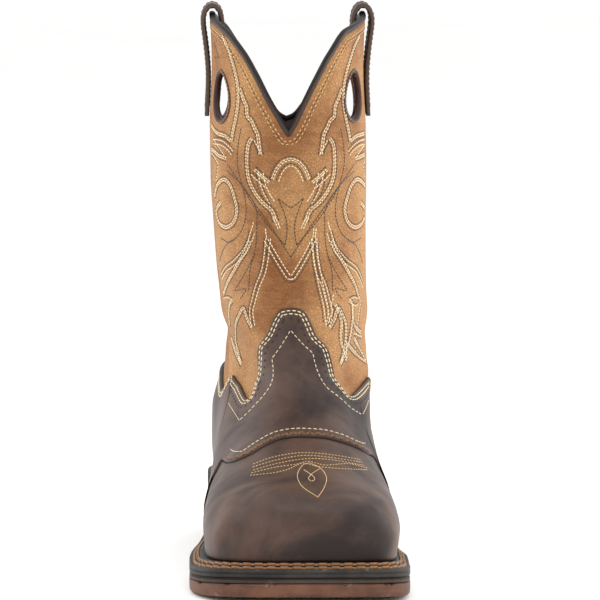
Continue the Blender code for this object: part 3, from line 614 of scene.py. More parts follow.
class Finish:
    """Short hand for a procedural material."""

    def __init__(self, name):
        self.made = bpy.data.materials.new(name)
        self.made.use_nodes = True
        self.tree = self.made.node_tree
        self.shader = self.tree.nodes["Principled BSDF"]
        self.place = self.node("ShaderNodeTexCoord").outputs["Object"]

    def node(self, kind, sockets=None, **settings):
        made = self.tree.nodes.new(kind)
        for key, value in settings.items():
            setattr(made, key, value)
        for key, value in (sockets or {}).items():
            self.put(made.inputs[key], value)
        return made

    def put(self, socket, value):
        if isinstance(value, bpy.types.NodeSocket):
            self.tree.links.new(value, socket)
        elif isinstance(value, tuple) and len(value) == 3 and socket.type == "RGBA":
            socket.default_value = (*value, 1.0)
        else:
            socket.default_value = value

    def noise(self, scale, detail=4.0, rough=0.55, warp=0.0, place=None):
        return self.node("ShaderNodeTexNoise", {
            "Vector": place or self.place, "Scale": scale, "Detail": detail,
            "Roughness": rough, "Distortion": warp}).outputs["Fac"]

    def cells(self, scale, feature="DISTANCE_TO_EDGE", place=None):
        made = self.node("ShaderNodeTexVoronoi", {"Vector": place or self.place,
                                                  "Scale": scale, "Randomness": 1.0},
                         feature=feature)
        return made.outputs["Distance"]

    def stretched(self, scale, turn=(0.0, 0.0, 0.0)):
        return self.node("ShaderNodeMapping", {"Vector": self.place, "Scale": scale,
                                               "Rotation": turn}).outputs["Vector"]

    def warped(self, scale, amount):
        """Places pushed about by noise, so that cells lose their regular look."""
        push = self.node("ShaderNodeTexNoise", {"Vector": self.place, "Scale": scale,
                                                "Detail": 3.0}).outputs["Color"]
        scaled = self.node("ShaderNodeVectorMath", {0: push, 1: (amount,) * 3},
                           operation="MULTIPLY").outputs[0]
        return self.node("ShaderNodeVectorMath", {0: self.place, 1: scaled},
                         operation="ADD").outputs[0]

    def span(self, value, low, high, out_low=0.0, out_high=1.0):
        return self.node("ShaderNodeMapRange", {
            "Value": value, "From Min": low, "From Max": high, "To Min": out_low,
            "To Max": out_high}, interpolation_type="SMOOTHSTEP").outputs["Result"]

    def mark(self, name):
        return self.node("ShaderNodeAttribute", attribute_name=name).outputs["Fac"]

    def math(self, kind, a, b=0.5):
        return self.node("ShaderNodeMath", {0: a, 1: b}, operation=kind).outputs[0]

    def blend(self, share, a, b):
        made = self.node("ShaderNodeMix", data_type="RGBA", blend_type="MIX")
        self.put(made.inputs[0], share)
        self.put(made.inputs[6], a)
        self.put(made.inputs[7], b)
        return made.outputs[2]

    def bump(self, height, strength, distance, normal=None):
        made = self.node("ShaderNodeBump", {"Height": height, "Strength": strength,
                                            "Distance": distance * MM})
        if normal is not None:
            self.put(made.inputs["Normal"], normal)
        return made.outputs["Normal"]

    def finish(self, colour, rough, normal=None, **sockets):
        self.put(self.shader.inputs["Base Color"], colour)
        self.put(self.shader.inputs["Roughness"], rough)
        if normal is not None:
            self.put(self.shader.inputs["Normal"], normal)
        for key, value in sockets.items():
            self.shader.inputs[key.replace("_", " ")].default_value = value
        return self.made


def skin(name):
    """A finish by name, made when it is first asked for."""
    found = bpy.data.materials.get(name)
    if found:
        return found
    if name in THREADS:
        return thread(name, *THREADS[name])
    if name in RUBBERS:
        return rubber(name, *RUBBERS[name])
    return SKINS[name](name)


def pebbled_tan(name):
    """Pebbled tan leather: darker in the grain, painted light and shade, and random lighter and
    darker soft patches.
    """
    colours = bpy.context.scene.boot_colours
    make = Finish(name)
    warp = make.warped(260, 0.0016)
    pebbles = make.span(make.cells(620, place=warp), 0.0, 0.42)
    fine = make.noise(2600, 3, 0.6)
    draw = make.noise(1.0, 5, 0.62, 0.6,
                      make.stretched((95, 95, 300), (0.25, 0.5, 0.3)))
    patches = make.noise(26, 5, 0.6, 0.5)
    # painted light and shade: the shade mark, with random patches, mixes tan_light (lit) and
    # tan_deep (shaded)
    shade = make.math("ADD", make.mark("shade"), make.span(patches, 0.3, 0.7, -0.20, 0.20))
    base = make.blend(make.span(shade, 0.18, 0.86), colours.tan_light[:], colours.tan_deep[:])
    base = make.blend(make.span(pebbles, 0.0, 0.8, 0.42, 0.0), base, colours.tan_grain[:])
    base = make.blend(make.span(draw, 0.42, 0.62, 0.0, 0.16), base, colours.tan_light[:])
    base = make.blend(make.span(make.mark("edge"), 0.2, 1.0, 0.0, 0.75), base,
                      colours.tan_grain[:])
    normal = make.bump(pebbles, 0.75, 0.26)
    normal = make.bump(draw, 0.6, 0.7, normal)
    normal = make.bump(fine, 0.18, 0.05, normal)
    rough = make.span(pebbles, 0.0, 1.0, 0.68, 0.54)
    return make.finish(base, rough, normal, Specular_IOR_Level=0.2)


def oiled_brown(name):
    """Smooth oiled brown leather: painted light and shade, soft clouds where it was bent, faint
    scratches.
    """
    colours = bpy.context.scene.boot_colours
    make = Finish(name)
    clouds = make.noise(22, 6, 0.62, 0.8)
    patches = make.noise(75, 4, 0.6, 0.3)
    pores = make.cells(1500, "F1")
    hairs = make.noise(1.0, 4, 0.7, 0.2, make.stretched((900, 500, 90), (0.3, 0.15, 0.9)))
    # painted light and shade: the shade mark, with random clouds and patches, mixes brown_light
    # (lit) and brown_deep (shaded)
    shade = make.math("ADD", make.mark("shade"), make.span(clouds, 0.3, 0.7, -0.22, 0.22))
    shade = make.math("ADD", shade, make.span(patches, 0.3, 0.7, -0.07, 0.07))
    base = make.blend(make.span(shade, 0.05, 0.95), colours.brown_light[:],
                      colours.brown_deep[:])
    base = make.blend(make.span(hairs, 0.64, 0.74, 0.0, 0.16), base, colours.brown_light[:])
    base = make.blend(make.span(make.mark("edge"), 0.1, 1.0, 0.0, 0.85), base,
                      colours.brown_edge[:])
    normal = make.bump(pores, 0.14, 0.06)
    normal = make.bump(patches, 0.12, 0.5, normal)
    rough = make.span(clouds, 0.3, 0.7, 0.40, 0.52)
    return make.finish(base, rough, normal, Specular_IOR_Level=0.28)


def dark_hide(name, light, deep, rough_low=0.38, rough_high=0.55, scale=900):
    make = Finish(name)
    grain = make.cells(scale, place=make.warped(500, 0.0008))
    patches = make.noise(60, 4, 0.6, 0.4)
    base = make.blend(make.span(patches, 0.3, 0.7), deep, light)
    base = make.blend(make.span(make.mark("edge"), 0.1, 1.0, 0.0, 0.9), base,
                      bpy.context.scene.boot_colours.strap_edge[:])
    normal = make.bump(make.span(grain, 0.0, 0.3), 0.3, 0.12)
    return make.finish(base, make.span(patches, 0.3, 0.7, rough_low, rough_high), normal,
                       Specular_IOR_Level=0.26)


def strap_hide(name):
    colours = bpy.context.scene.boot_colours
    return dark_hide(name, colours.dark_light[:], colours.dark_deep[:])


def binding_hide(name):
    colours = bpy.context.scene.boot_colours
    return dark_hide(name, colours.binding_light[:], colours.binding_deep[:], 0.34, 0.5, 1300)


def lining_hide(name):
    """Napped lining inside the leg."""
    make = Finish(name)
    nap = make.noise(1400, 4, 0.7)
    patches = make.noise(40, 4, 0.6)
    base = make.blend(make.span(patches, 0.3, 0.7), (0.040, 0.026, 0.024),
                      (0.075, 0.050, 0.044))
    base = make.blend(make.span(nap, 0.4, 0.75, 0.0, 0.35), base, (0.13, 0.095, 0.08))
    return make.finish(base, 0.86, make.bump(nap, 0.5, 0.2), Sheen_Weight=0.12)


def insole_hide(name):
    make = Finish(name)
    patches = make.noise(35, 4, 0.6)
    nap = make.noise(1700, 3, 0.7)
    base = make.blend(make.span(patches, 0.3, 0.7), (0.20, 0.125, 0.07), (0.30, 0.20, 0.12))
    return make.finish(base, 0.8, make.bump(nap, 0.35, 0.15))


def thread(name, light, deep, rough):
    """Twisted thread, with painted shade in the hollows of its twist."""
    make = Finish(name)
    twist = make.node("ShaderNodeTexWave", {"Vector": make.place, "Scale": 620.0,
                                            "Distortion": 1.2, "Detail": 1.0},
                      bands_direction="DIAGONAL").outputs["Fac"]
    drift = make.noise(140, 3)
    base = make.blend(make.span(twist, 0.15, 0.85), deep, light)
    base = make.blend(make.span(drift, 0.35, 0.7, 0.0, 0.5), base, deep)
    return make.finish(base, rough, make.bump(twist, 0.4, 0.12), Sheen_Weight=0.15)


def rubber(name, light, deep, streak, rough, scuff):
    """Moulded or cut rubber: fine speckle, level streaks, scuffs on its edges and painted shade.
    """
    make = Finish(name)
    speck = make.noise(1300, 3, 0.7)
    clouds = make.noise(45, 5, 0.6, 0.5)
    bands = make.noise(1.0, 4, 0.6, 0.2, make.stretched((38, 38, 420)))
    base = make.blend(make.span(clouds, 0.3, 0.7), deep, light)
    base = make.blend(make.span(bands, 0.45, 0.7, 0.0, streak), base, light)
    rubs = make.math("MULTIPLY", make.span(make.noise(150, 5, 0.75), 0.56, 0.70),
                     make.span(make.mark("edge"), 0.05, 0.9))
    base = make.blend(make.math("MULTIPLY", rubs, 0.6), base, scuff)
    # painted shade: the shade mark darkens the rubber at joints between layers, in grooves and in
    # nicks
    base = make.blend(make.span(make.mark("shade"), 0.5, 1.0, 0.0, 0.85), base,
                      tuple(0.25 * c for c in deep))
    normal = make.bump(speck, 0.2, 0.08)
    normal = make.bump(bands, 0.12, 0.3, normal)
    return make.finish(base, make.span(clouds, 0.3, 0.7, rough, rough + 0.15), normal,
                       Specular_IOR_Level=0.25)


def pinhole_dark(name):
    # painted shade: near black that stands in for the shade inside the punched holes
    make = Finish(name)
    base = make.blend(make.noise(900), (0.012, 0.009, 0.008), (0.022, 0.016, 0.013))
    return make.finish(base, 0.8)


SKINS = {
    "pebbled_tan": pebbled_tan, "oiled_brown": oiled_brown, "strap_hide": strap_hide,
    "binding_hide": binding_hide, "lining_hide": lining_hide, "insole_hide": insole_hide,
    "pinhole_dark": pinhole_dark,
}
# name: light, deep (painted shade in the twist's hollows, and random drift), roughness
THREADS = {
    "cream_thread": ((0.93, 0.80, 0.55), (0.66, 0.52, 0.31), 0.5),
    "dark_thread": ((0.062, 0.028, 0.013), (0.030, 0.014, 0.008), 0.5),
    "gold_thread": ((0.74, 0.50, 0.22), (0.46, 0.28, 0.10), 0.5),
    "olive_thread": ((0.48, 0.31, 0.13), (0.22, 0.13, 0.045), 0.5),
    "welt_thread": ((0.34, 0.150, 0.038), (0.13, 0.052, 0.015), 0.55),
}
# name: light, deep, share of streaks, roughness, scuffs
RUBBERS = {
    "welt_rubber": ((0.040, 0.035, 0.030), (0.013, 0.011, 0.010), 0.3, 0.5,
                    (0.16, 0.16, 0.155)),
    "midsole_rubber_fine": ((0.062, 0.042, 0.031), (0.028, 0.018, 0.014), 0.35, 0.52,
                            (0.16, 0.14, 0.12)),
    "outsole_rubber": ((0.165, 0.072, 0.040), (0.070, 0.029, 0.018), 0.5, 0.5,
                       (0.30, 0.17, 0.11)),
    "heel_rubber": ((0.050, 0.047, 0.043), (0.024, 0.022, 0.021), 0.4, 0.55,
                    (0.3, 0.3, 0.29)),
}


# ---------------------------------------------------------------- upper and its panels

AROUND = 300
ALONG = 162
LEVEL_EASE = 0.92
HOLE_CLEAR = 1.4


def signed_turn(turn):
    return np.where(turn > 180, turn - 360, turn)


def hole_frame(face, turn, height):
    level = face.level_at(turn, height)
    middle = face.point(turn, level)
    normal = face.lookup(face.normal, turn, level)
    normal = np.array([normal[0], normal[1], 0.0])
    normal /= np.linalg.norm(normal)
    return middle, normal, np.cross(np.array([0.0, 0.0, 1.0]), normal)


def in_hole(face, points, grow):
    """Which points lie in one of the pull holes, widened by grow."""
    inside = np.zeros(points.shape[:-1], bool)
    for _, turn, height in HOLES:
        middle, normal, across = hole_frame(face, turn, height)
        a = (points - middle) @ across
        b = points[..., 2] - height
        rise = np.clip(b / (HOLE_HALF_HEIGHT + grow), -1, 1)
        width = (HOLE_HALF_WIDTH + grow) * (1 - HOLE_NARROWING * rise)
        beside = ((points - middle) @ normal) > -HOLE_DEPTH
        inside |= beside & ((a / width) ** 2 + (b / (HOLE_HALF_HEIGHT + grow)) ** 2 < 1)
    return inside


def build_upper():
    face = boot_face()
    turns = np.arange(AROUND) * 360.0 / AROUND
    top = face.level_at(turns, edge_height(COLLAR_EDGE, signed_turn(turns)))
    share = np.linspace(0, 1, ALONG) ** LEVEL_EASE
    levels = share[:, None] * top[None, :]
    around = np.broadcast_to(turns, levels.shape)
    plain = face.point(around, levels)
    rise = crease_rise(plain)
    outer = face.point(around, levels, rise)
    inner = face.point(around, levels, rise - LEATHER)
    rim = face.lookup(face.normal, turns, 0 * turns)
    rim[:, 2] = 0
    inner[0] = plain[0] - rim / np.linalg.norm(rim, axis=1, keepdims=True) * LEATHER
    inner[-1][:, 2] = outer[-1][:, 2]
    middles = 0.25 * (plain[:-1] + plain[1:] + np.roll(plain[:-1], -1, 1)
                      + np.roll(plain[1:], -1, 1))
    keep = ~in_hole(face, middles, HOLE_CLEAR)
    faces = shell_faces(ALONG, AROUND, keep, True)
    slots = np.repeat((0, 1, 0), [len(part) for part in faces])
    points = np.concatenate([outer.reshape(-1, 3), inner.reshape(-1, 3)])
    # painted light and shade on the tan leather, front and, turned about, back
    shade = shade_marks(plain, SHADES_SEEN, True).ravel()
    edge = np.zeros(levels.shape)
    edge[-1] = 1
    mesh_piece("shaft_leather", points, np.concatenate(faces),
               [skin("pebbled_tan"), skin("lining_hide")], slots,
               {"shade": np.tile(shade, 2), "edge": np.tile(edge.ravel(), 2)}, 50,
               ["upper"])
    CACHE["shaft"] = net_of(outer.reshape(-1, 3), faces[0])


def eased(count):
    """Shares from 0 to 1, closer together at both ends."""
    even = np.linspace(0, 1, count)
    return 0.45 * even + 0.55 * (0.5 - 0.5 * np.cos(np.pi * even))


PANEL_ROUND = 1.5
PANEL_SEAM = 0.3
PANEL_RUB = 0.9
PANEL_UNDER = 0.12
EDGE_FULLNESS = 0.45


def build_panel(name, turns, low, high, thick, rows, shades, replaces):
    """Leather panel lying on the upper, with a rounded cut edge."""
    face = boot_face()
    levels = low[None, :] + (high - low)[None, :] * eased(rows)[:, None]
    around = np.broadcast_to(turns, levels.shape)
    plain = face.point(around, levels)
    border = np.concatenate([plain[0], plain[-1], plain[:, 0], plain[:, -1]])
    tree = KDTree(len(border))
    for k, spot in enumerate(border):
        tree.insert(spot, k)
    tree.balance()
    away = np.array([tree.find(spot)[2] for spot in plain.reshape(-1, 3)])
    away = away.reshape(levels.shape)
    near = np.clip(1 - away / PANEL_ROUND, 0, 1)
    swell = EDGE_FULLNESS + (1 - EDGE_FULLNESS) * np.sqrt(1 - near ** 2)
    rise = crease_rise(plain)
    outer = face.point(around, levels, rise + GAP + thick * swell)
    inner = face.point(around, levels, rise + PANEL_UNDER)
    keep = np.ones((rows - 1, len(turns) - 1), bool)
    faces = shell_faces(rows, len(turns), keep)
    # painted light and shade on the brown leather
    shade = shade_marks(plain, shades).ravel()
    edge = np.clip(1 - away / PANEL_RUB, 0, 1).ravel()
    points = np.concatenate([outer.reshape(-1, 3), inner.reshape(-1, 3)])
    mesh_piece(name, points, np.concatenate(faces), [skin("oiled_brown")], None,
               {"shade": np.tile(shade, 2), "edge": np.concatenate([edge, 0 * edge + 1])},
               50, replaces)
    CACHE[name] = net_of(outer.reshape(-1, 3), faces[0])


def foot_base(face, turns):
    return face.level_at(turns, feather_height(face.point(turns, 0 * turns)[:, 1]) + 0.2)


def build_toe_vamp():
    face = boot_face()
    turns = np.linspace(-TOE_END_TURN + PANEL_SEAM, TOE_END_TURN - PANEL_SEAM, 210)
    top = face.level_at(turns, edge_height(SADDLE_EDGE, turns))
    low = foot_base(face, turns)
    build_panel("toe_vamp_leather", turns, low, top, TOE_PANEL, 56, SHADES_VAMP,
                ["toe_vamp"])


def build_saddle():
    face = boot_face()
    wing = np.linspace(TOE_END_TURN + 0.12, 90 - PANEL_SEAM, 26)
    middle = np.linspace(-TOE_END_TURN, TOE_END_TURN, 224)
    turns = np.concatenate([-wing[::-1], middle, wing])
    low = face.level_at(turns, edge_height(SADDLE_EDGE, turns))
    low = np.where(np.abs(turns) > TOE_END_TURN, foot_base(face, turns), low)
    high = face.level_at(turns, edge_height(TONGUE_EDGE, turns))
    build_panel("saddle_leather", turns, low, high, SADDLE_PANEL, 72, SHADES_VAMP,
                ["saddle_overlay"])


def build_counter():
    face = boot_face()
    turns = np.linspace(90 + PANEL_SEAM, 270 - PANEL_SEAM, 190)
    high = face.level_at(turns, edge_height(COUNTER_EDGE, turns))
    build_panel("counter_leather", turns, foot_base(face, turns), high, COUNTER_PANEL, 56,
                SHADES_VAMP, ["counter"])


# ---------------------------------------------------------------- threads

DASH_ALONG = np.array([-0.5, -0.30, 0.30, 0.5])
DASH_FULL = np.array([0.30, 1.0, 1.0, 0.30])
DASH_ACROSS = np.array([-0.5, -0.26, 0.26, 0.5])
DASH_RISE = np.array([-0.25, 1.0, 1.0, -0.25])
SNAP_REACH = 12.0
SNAP_FROM = 2.4
LONGEST_GAP = 9.0


def dash_mesh(middles, ways, normals, length, width, height):
    """Points and faces of many short stitches."""
    middles, ways, normals = (np.asarray(v, float) for v in (middles, ways, normals))
    ways = ways - normals * (ways * normals).sum(axis=1, keepdims=True)
    ways /= np.linalg.norm(ways, axis=1, keepdims=True)
    beside = np.cross(normals, ways)
    length = np.broadcast_to(length, len(middles))[:, None, None, None]
    along = DASH_ALONG[None, :, None, None] * length * ways[:, None, None, :]
    size = DASH_FULL[None, :, None, None]
    across = DASH_ACROSS[None, None, :, None] * width * size * beside[:, None, None, :]
    rise = DASH_RISE[None, None, :, None] * height * size * normals[:, None, None, :]
    points = middles[:, None, None, :] + along + across + rise
    count = len(middles)
    one = []
    for i in range(3):
        for j in range(4):
            k = (j + 1) % 4
            one.append((i * 4 + j, (i + 1) * 4 + j, (i + 1) * 4 + k, i * 4 + k))
    one.append((0, 1, 2, 3))
    one.append((15, 14, 13, 12))
    faces = np.array(one)[None] + (np.arange(count) * 16)[:, None, None]
    return points.reshape(-1, 3), faces.reshape(-1, 4)


def smooth_line(knots, steps):
    """Centripetal curve through the knots."""
    knots = np.asarray(knots, float)
    if len(knots) < 3:
        share = np.linspace(0, 1, steps + 1)[:, None]
        return knots[0] * (1 - share) + knots[-1] * share
    ends = np.concatenate([[2 * knots[0] - knots[1]], knots, [2 * knots[-1] - knots[-2]]])
    line = []
    for k in range(1, len(ends) - 2):
        a, b, c, d = ends[k - 1:k + 3]
        t = np.linspace(0, 1, steps, endpoint=False)[:, None]
        line.append(0.5 * (2 * b + (c - a) * t + (2 * a - 5 * b + 4 * c - d) * t ** 2
                           + (3 * b - a - 3 * c + d) * t ** 3))
    return np.concatenate(line + [knots[-1:]])


def snap(nets, point):
    """Nearest place and normal on the nets, if one is within reach."""
    best = None
    for net in nets:
        found = net.find_nearest(Vector(point), SNAP_REACH)
        if found[0] is not None and (best is None or found[3] < best[2]):
            best = (np.array(found[0]), np.array(found[1]), found[3])
    return best


LINE_STEPS = 12


class Seam:
    """Collects rows of stitches of one thread into one piece."""

    def __init__(self, name, thread_skin, pitch, length, width, height):
        self.name, self.thread_skin = name, thread_skin
        self.pitch, self.length, self.width, self.height = pitch, length, width, height
        self.parts = []

    def row(self, places, normals, offset=0.0, nets=(), start=0.5):
        """Stitches along a line of places, moved sideways by offset."""
        places, normals = np.asarray(places, float), np.asarray(normals, float)
        if len(places) < 2:
            return
        ways = np.gradient(places, axis=0)
        size = np.linalg.norm(ways, axis=1, keepdims=True)
        ways /= np.maximum(size, 1e-9)
        if offset:
            places = places + np.cross(normals, ways) * offset
            snapped = [snap(nets, place) for place in places]
            good = [k for k, spot in enumerate(snapped) if spot is not None]
            places = np.array([snapped[k][0] for k in good])
            normals = np.array([snapped[k][1] for k in good])
            if len(places) < 2:
                return
        run = np.concatenate(([0], np.cumsum(np.linalg.norm(np.diff(places, axis=0),
                                                            axis=1))))
        if run[-1] < self.pitch:
            return
        count = max(1, int(round(run[-1] / self.pitch)))
        at = (np.arange(count) + start) * run[-1] / count
        pick = lambda field, where: np.stack([np.interp(where, run, field[:, c])
                                              for c in range(3)], axis=1)
        half = self.length / 2
        tail, head = pick(places, at - half), pick(places, np.minimum(at + half, run[-1]))
        middle = pick(places, at)
        up = pick(normals, at)
        up /= np.maximum(np.linalg.norm(up, axis=1, keepdims=True), 1e-9)
        way = head - tail
        good = np.linalg.norm(way, axis=1) > 0.2 * self.length
        self.parts.append(dash_mesh(middle[good], way[good], up[good], self.length,
                                    self.width, self.height))

    def build(self, slot="brown_leather"):
        points, faces, shift = [], [], 0
        for part_points, part_faces in self.parts:
            points.append(part_points)
            faces.append(part_faces + shift)
            shift += len(part_points)
        if not points:
            raise RuntimeError("no stitches in " + self.name)
        mesh_piece(self.name, np.concatenate(points), np.concatenate(faces),
                   [skin(self.thread_skin)])


def seen_line(knots, nets, behind=False, mirror=None):
    """Frame places of a drawn line, set down on the boot; split where it leaves the boot."""
    line = smooth_line(knots, LINE_STEPS)
    if mirror is not None:
        line = np.stack([2 * mirror - line[:, 0], line[:, 1]], axis=1)
    sight = Sight(behind)
    pieces, places, normals = [], [], []
    for across, down in line:
        best = None
        for net in nets:
            spot = sight.hit(net, across, down)
            if spot is not None:
                depth = np.linalg.norm(spot[0] - sight.ray(across, down)[0])
                if best is None or depth < best[2]:
                    best = (spot[0], spot[1], depth)
        jump = best is not None and places and \
            np.linalg.norm(best[0] - places[-1]) > LONGEST_GAP
        if best is None or jump:
            if len(places) > 1:
                pieces.append((np.array(places), np.array(normals)))
            places, normals = [], []
        if best is not None:
            places.append(best[0])
            normals.append(best[1])
    if len(places) > 1:
        pieces.append((np.array(places), np.array(normals)))
    return pieces


# Stitching of the leg as frame places (across, down), outer half. The middle line is at
# LEG_MIDDLE; the other half and the back of the leg repeat it turned about.
LEG_MIDDLE = 290.8
BAND = ((-1.75, "dark"), (-0.62, "cream"), (0.62, "cream"), (1.75, "dark"))
BAND_WIDE = ((0.0, "dark"), (1.3, "cream"), (2.4, "cream"), (4.2, "dark"), (5.6, "cream"))
BAND_PALE = ((-2.5, "cream"), (-1.15, "dark"), (0.2, "cream"), (1.4, "dark"))
LINE = ((0.0, "dark"),)
LEG_LINES = (
    # name, rows side by side, places
    ("hole_sweep", BAND, ((209.5, 117), (211.5, 124), (214.5, 130.5), (219, 134), (225, 136),
     (231.2, 141))),
    ("hole_rise", BAND, ((231.4, 141), (233.2, 130), (235.8, 118), (237.6, 106), (238.2, 96),
     (237.4, 84), (234.5, 70), (231, 58), (227, 46), (222, 36))),
    ("flame_right", BAND, ((239.5, 88), (243.4, 99), (246.6, 107), (247.4, 116), (251.6, 121),
     (254.6, 128), (257.6, 134.5), (259.2, 145), (260.4, 155))),
    ("flame_hook", ((0.0, "dark"), (1.3, "cream")), ((260.2, 156), (256.4, 149), (252.4, 141))),
    ("big_c", BAND, ((252, 138), (248, 146), (247, 163.8), (248.8, 179), (254.4, 191.8),
     (262, 202), (271.6, 210.7), (276.2, 222))),
    ("arch_fall", BAND_WIDE, ((256.2, 167), (262, 172.4), (268, 177.4), (271.4, 180.2))),
    ("spike_dark", LINE, ((255.8, 166), (257.1, 182.8), (259.8, 192), (264.8, 200.4),
     (270.9, 209))),
    ("spike_cream", ((0.0, "cream"), (-3.0, "cream")), ((258.4, 173), (260.4, 184.4),
     (264.4, 194.4), (270.4, 204.6))),
    ("spike_inner", LINE, ((261.2, 179.6), (263, 187), (266.6, 195.8), (271.6, 206.4))),
    ("heart_dark", LINE, ((278, 198.2), (284.4, 203.6), (291, 208.4))),
    ("heart_side", LINE, ((278, 198.2), (283.8, 212.2), (286.6, 222.4), (286.8, 233.9),
     (285, 245.4))),
    ("long_dark", LINE, ((285, 245.4), (266.5, 223.7), (251.2, 202), (241, 184.2), (227, 170.8))),
    ("long_dark_two", LINE, ((227, 163.8), (239.1, 181.6), (246.1, 190.6), (256.3, 205.9),
     (271.6, 227.6), (290.8, 257.5))),
    ("scroll", BAND, ((214.8, 196), (217.4, 184.9), (224, 179.4), (230.2, 185.5), (234.2, 196.9),
     (236.8, 209.7), (234, 221.4), (227, 227.2), (220.2, 224), (217.2, 216), (217, 208.6),
     (220.6, 202.7))),
    ("star_up", BAND_PALE, ((233.4, 152), (228.4, 146), (221.4, 141), (213.6, 139.5))),
    ("star_down", BAND, ((226.4, 158.6), (219, 155.6), (213.6, 150.6), (209.6, 147.4))),
    ("star_mid", ((0.0, "cream"), (1.1, "dark")), ((213.8, 139.2), (218, 146), (222.4, 152.4),
     (226.4, 158.6))),
    ("star_tail", ((0.0, "cream"), (1.2, "dark")), ((211.5, 152), (215.8, 159.5), (218.2, 166),
     (216.2, 181.6))),
    ("leaf", BAND_PALE, ((251.2, 231.1), (248.6, 240), (243.6, 250.2), (234.4, 260.4),
     (225.2, 268.1), (220.1, 278.6), (218, 286))),
    ("leaf_inner", BAND, ((250, 240), (246, 250), (238.5, 262.7), (233.6, 271.4), (227, 284),
     (222.4, 299))),
    ("leaf_tip", (((0.0, "cream"),)), ((251, 231), (252.6, 226.5), (253.6, 221.5))),
    ("c_tip", (((0.0, "cream"), (1.3, "cream"))), ((274.4, 216.4), (277.6, 222), (280.4, 228.6))),
    ("peak", LINE, ((240, 299), (246, 289), (234.6, 291))),
    ("thin_one", LINE, ((241, 128), (238.5, 142), (237.2, 157.4), (237.8, 167.6), (241, 181.6),
     (244.8, 196.9), (246.1, 211), (244.8, 221.2), (241, 231.4), (234.6, 239), (228.3, 242.2),
     (220.6, 237.8))),
    ("thin_two", LINE, ((239.1, 181.6), (250, 196.9), (256.3, 209.7), (256.8, 224),
     (256.3, 240.3), (253.8, 255.6), (250, 269.6), (248.7, 291.3))),
    ("thin_three", LINE, ((253.8, 255.6), (244.8, 273.5), (234.6, 290))),
    ("thin_four", LINE, ((235.9, 237.8), (227, 244.1), (221.9, 253.1), (219.3, 263.3))),
)
# Lines of the flames and the M. One that ends right of the middle is drawn once
LEG_WHOLE = (
    ("flame_low", BAND, ((252.1, 328), (247, 318), (243.4, 308.5), (238.8, 316), (235.6, 326),
     (236.6, 345), (241.2, 364))),
    ("flame_low_two", BAND, ((241.6, 364.6), (235.2, 350), (231.4, 336), (229.2, 318),
     (229.6, 304.4), (232.6, 300.2))),
    ("notch", ((0.0, "cream"), (1.2, "dark")), ((232.6, 299.8), (228, 297.6), (223.6, 298.4))),
    ("side_fall", ((0.0, "cream"), (1.3, "dark")), ((221, 300), (223, 316), (225.4, 334),
     (226.6, 356))),
    ("m_side", BAND_PALE, ((266.5, 237.5), (264, 259.4), (261.4, 272.2), (256.3, 285),
     (252.5, 299), (250, 312), (252.1, 327.5))),
    ("m_side_in", BAND_PALE, ((312.8, 238), (313.8, 256), (316.2, 271), (318.6, 284),
     (321.8, 297), (324.2, 309), (325.8, 323))),
    ("m_tip", ((0.0, "cream"),), ((266.8, 238), (265.9, 233), (265.4, 228.4))),
    ("m_tip_in", ((0.0, "cream"),), ((312.8, 238), (313.4, 233), (313.8, 228.4))),
    ("m_valley", ((0.0, "cream"), (1.2, "dark"), (2.4, "cream"), (3.9, "dark")), ((267.6, 238.5),
     (279.3, 258.5), (288.8, 273.4), (290.8, 275.2), (292.8, 273.4), (301.6, 258.5),
     (312.2, 238.5))),
    ("flame_in_rise", ((0.0, "cream"), (1.3, "dark")), ((327.8, 324), (330.6, 316),
     (333.2, 308.6))),
    ("flame_in_tip", ((0.0, "cream"),), ((330.8, 308), (332.2, 300), (333.2, 294.2))),
    ("flame_in_fall", BAND, ((335, 304), (339.4, 313.4), (341.6, 323.4), (340.9, 334),
     (341.4, 343), (344.6, 354), (346, 361))),
    ("flame_in_side", BAND, ((346.6, 359), (346.2, 350), (346.6, 342))),
    ("flame_in_low", BAND, ((346.8, 342), (351, 348.4), (358, 356), (365.6, 362))),
    ("flame_in_up", BAND, ((365.6, 361), (360.4, 350.6), (353.8, 337.6))),
    ("flame_in_under", ((0.0, "dark"), (-1.4, "cream")), ((353.4, 336), (360, 338.6),
     (367.2, 339.8))),
    ("flame_in_back", BAND, ((367, 338.8), (361, 333), (354.9, 326.2), (352.6, 316.6),
     (352.2, 304.4))),
    ("notch_in", ((0.0, "dark"), (1.4, "cream")), ((351, 300.7), (355, 303.4), (357.4, 302.4))),
    ("arch", BAND_WIDE, ((269.4, 178.6), (271.6, 172.4), (275.6, 165), (282, 158.8),
     (290.8, 156.2), (299.6, 158.8), (306, 165), (310, 172.4), (312.2, 178.6))),
)
SIDE_MOTIFS = (
    ("arrow", LINE, ((207.4, 38), (214, 44), (219.1, 57.2))),
    ("arrow_back", LINE, ((219.1, 57.2), (212.5, 58.7), (210.3, 69))),
)


def build_leg_stitching():
    size = bpy.context.scene.boot_stitching
    nets = [CACHE["shaft"]]
    for side, behind in (("front", False), ("back", True)):
        seams = {
            "cream": Seam("leg_stitching_cream_" + side, "cream_thread", size.leg_pitch / MM,
                          0.80 * size.leg_pitch / MM, size.cream_width / MM, 0.34),
            "dark": Seam("leg_stitching_dark_" + side, "dark_thread", size.leg_pitch / MM,
                         0.86 * size.leg_pitch / MM, size.dark_width / MM, 0.26)}
        for _, rows, places in LEG_LINES + SIDE_MOTIFS + LEG_WHOLE:
            sides = (None,) if places[-1][0] > LEG_MIDDLE + 1 else (None, LEG_MIDDLE)
            for mirror in sides:
                flip = -1 if mirror is None else 1
                flip = -flip if behind else flip
                for line, normals in seen_line(places, nets, behind, mirror):
                    for offset, tone in rows:
                        seams[tone].row(line, normals, flip * offset, nets)
        for seam in seams.values():
            seam.build("tan_leather")


# ---------------------------------------------------------------- collar, holes and straps

COLLAR_SECTION = 12
PIPING_WIDTH = 3.4
PIPING_HEIGHT = 2.6
COLLAR_COLUMNS = 420


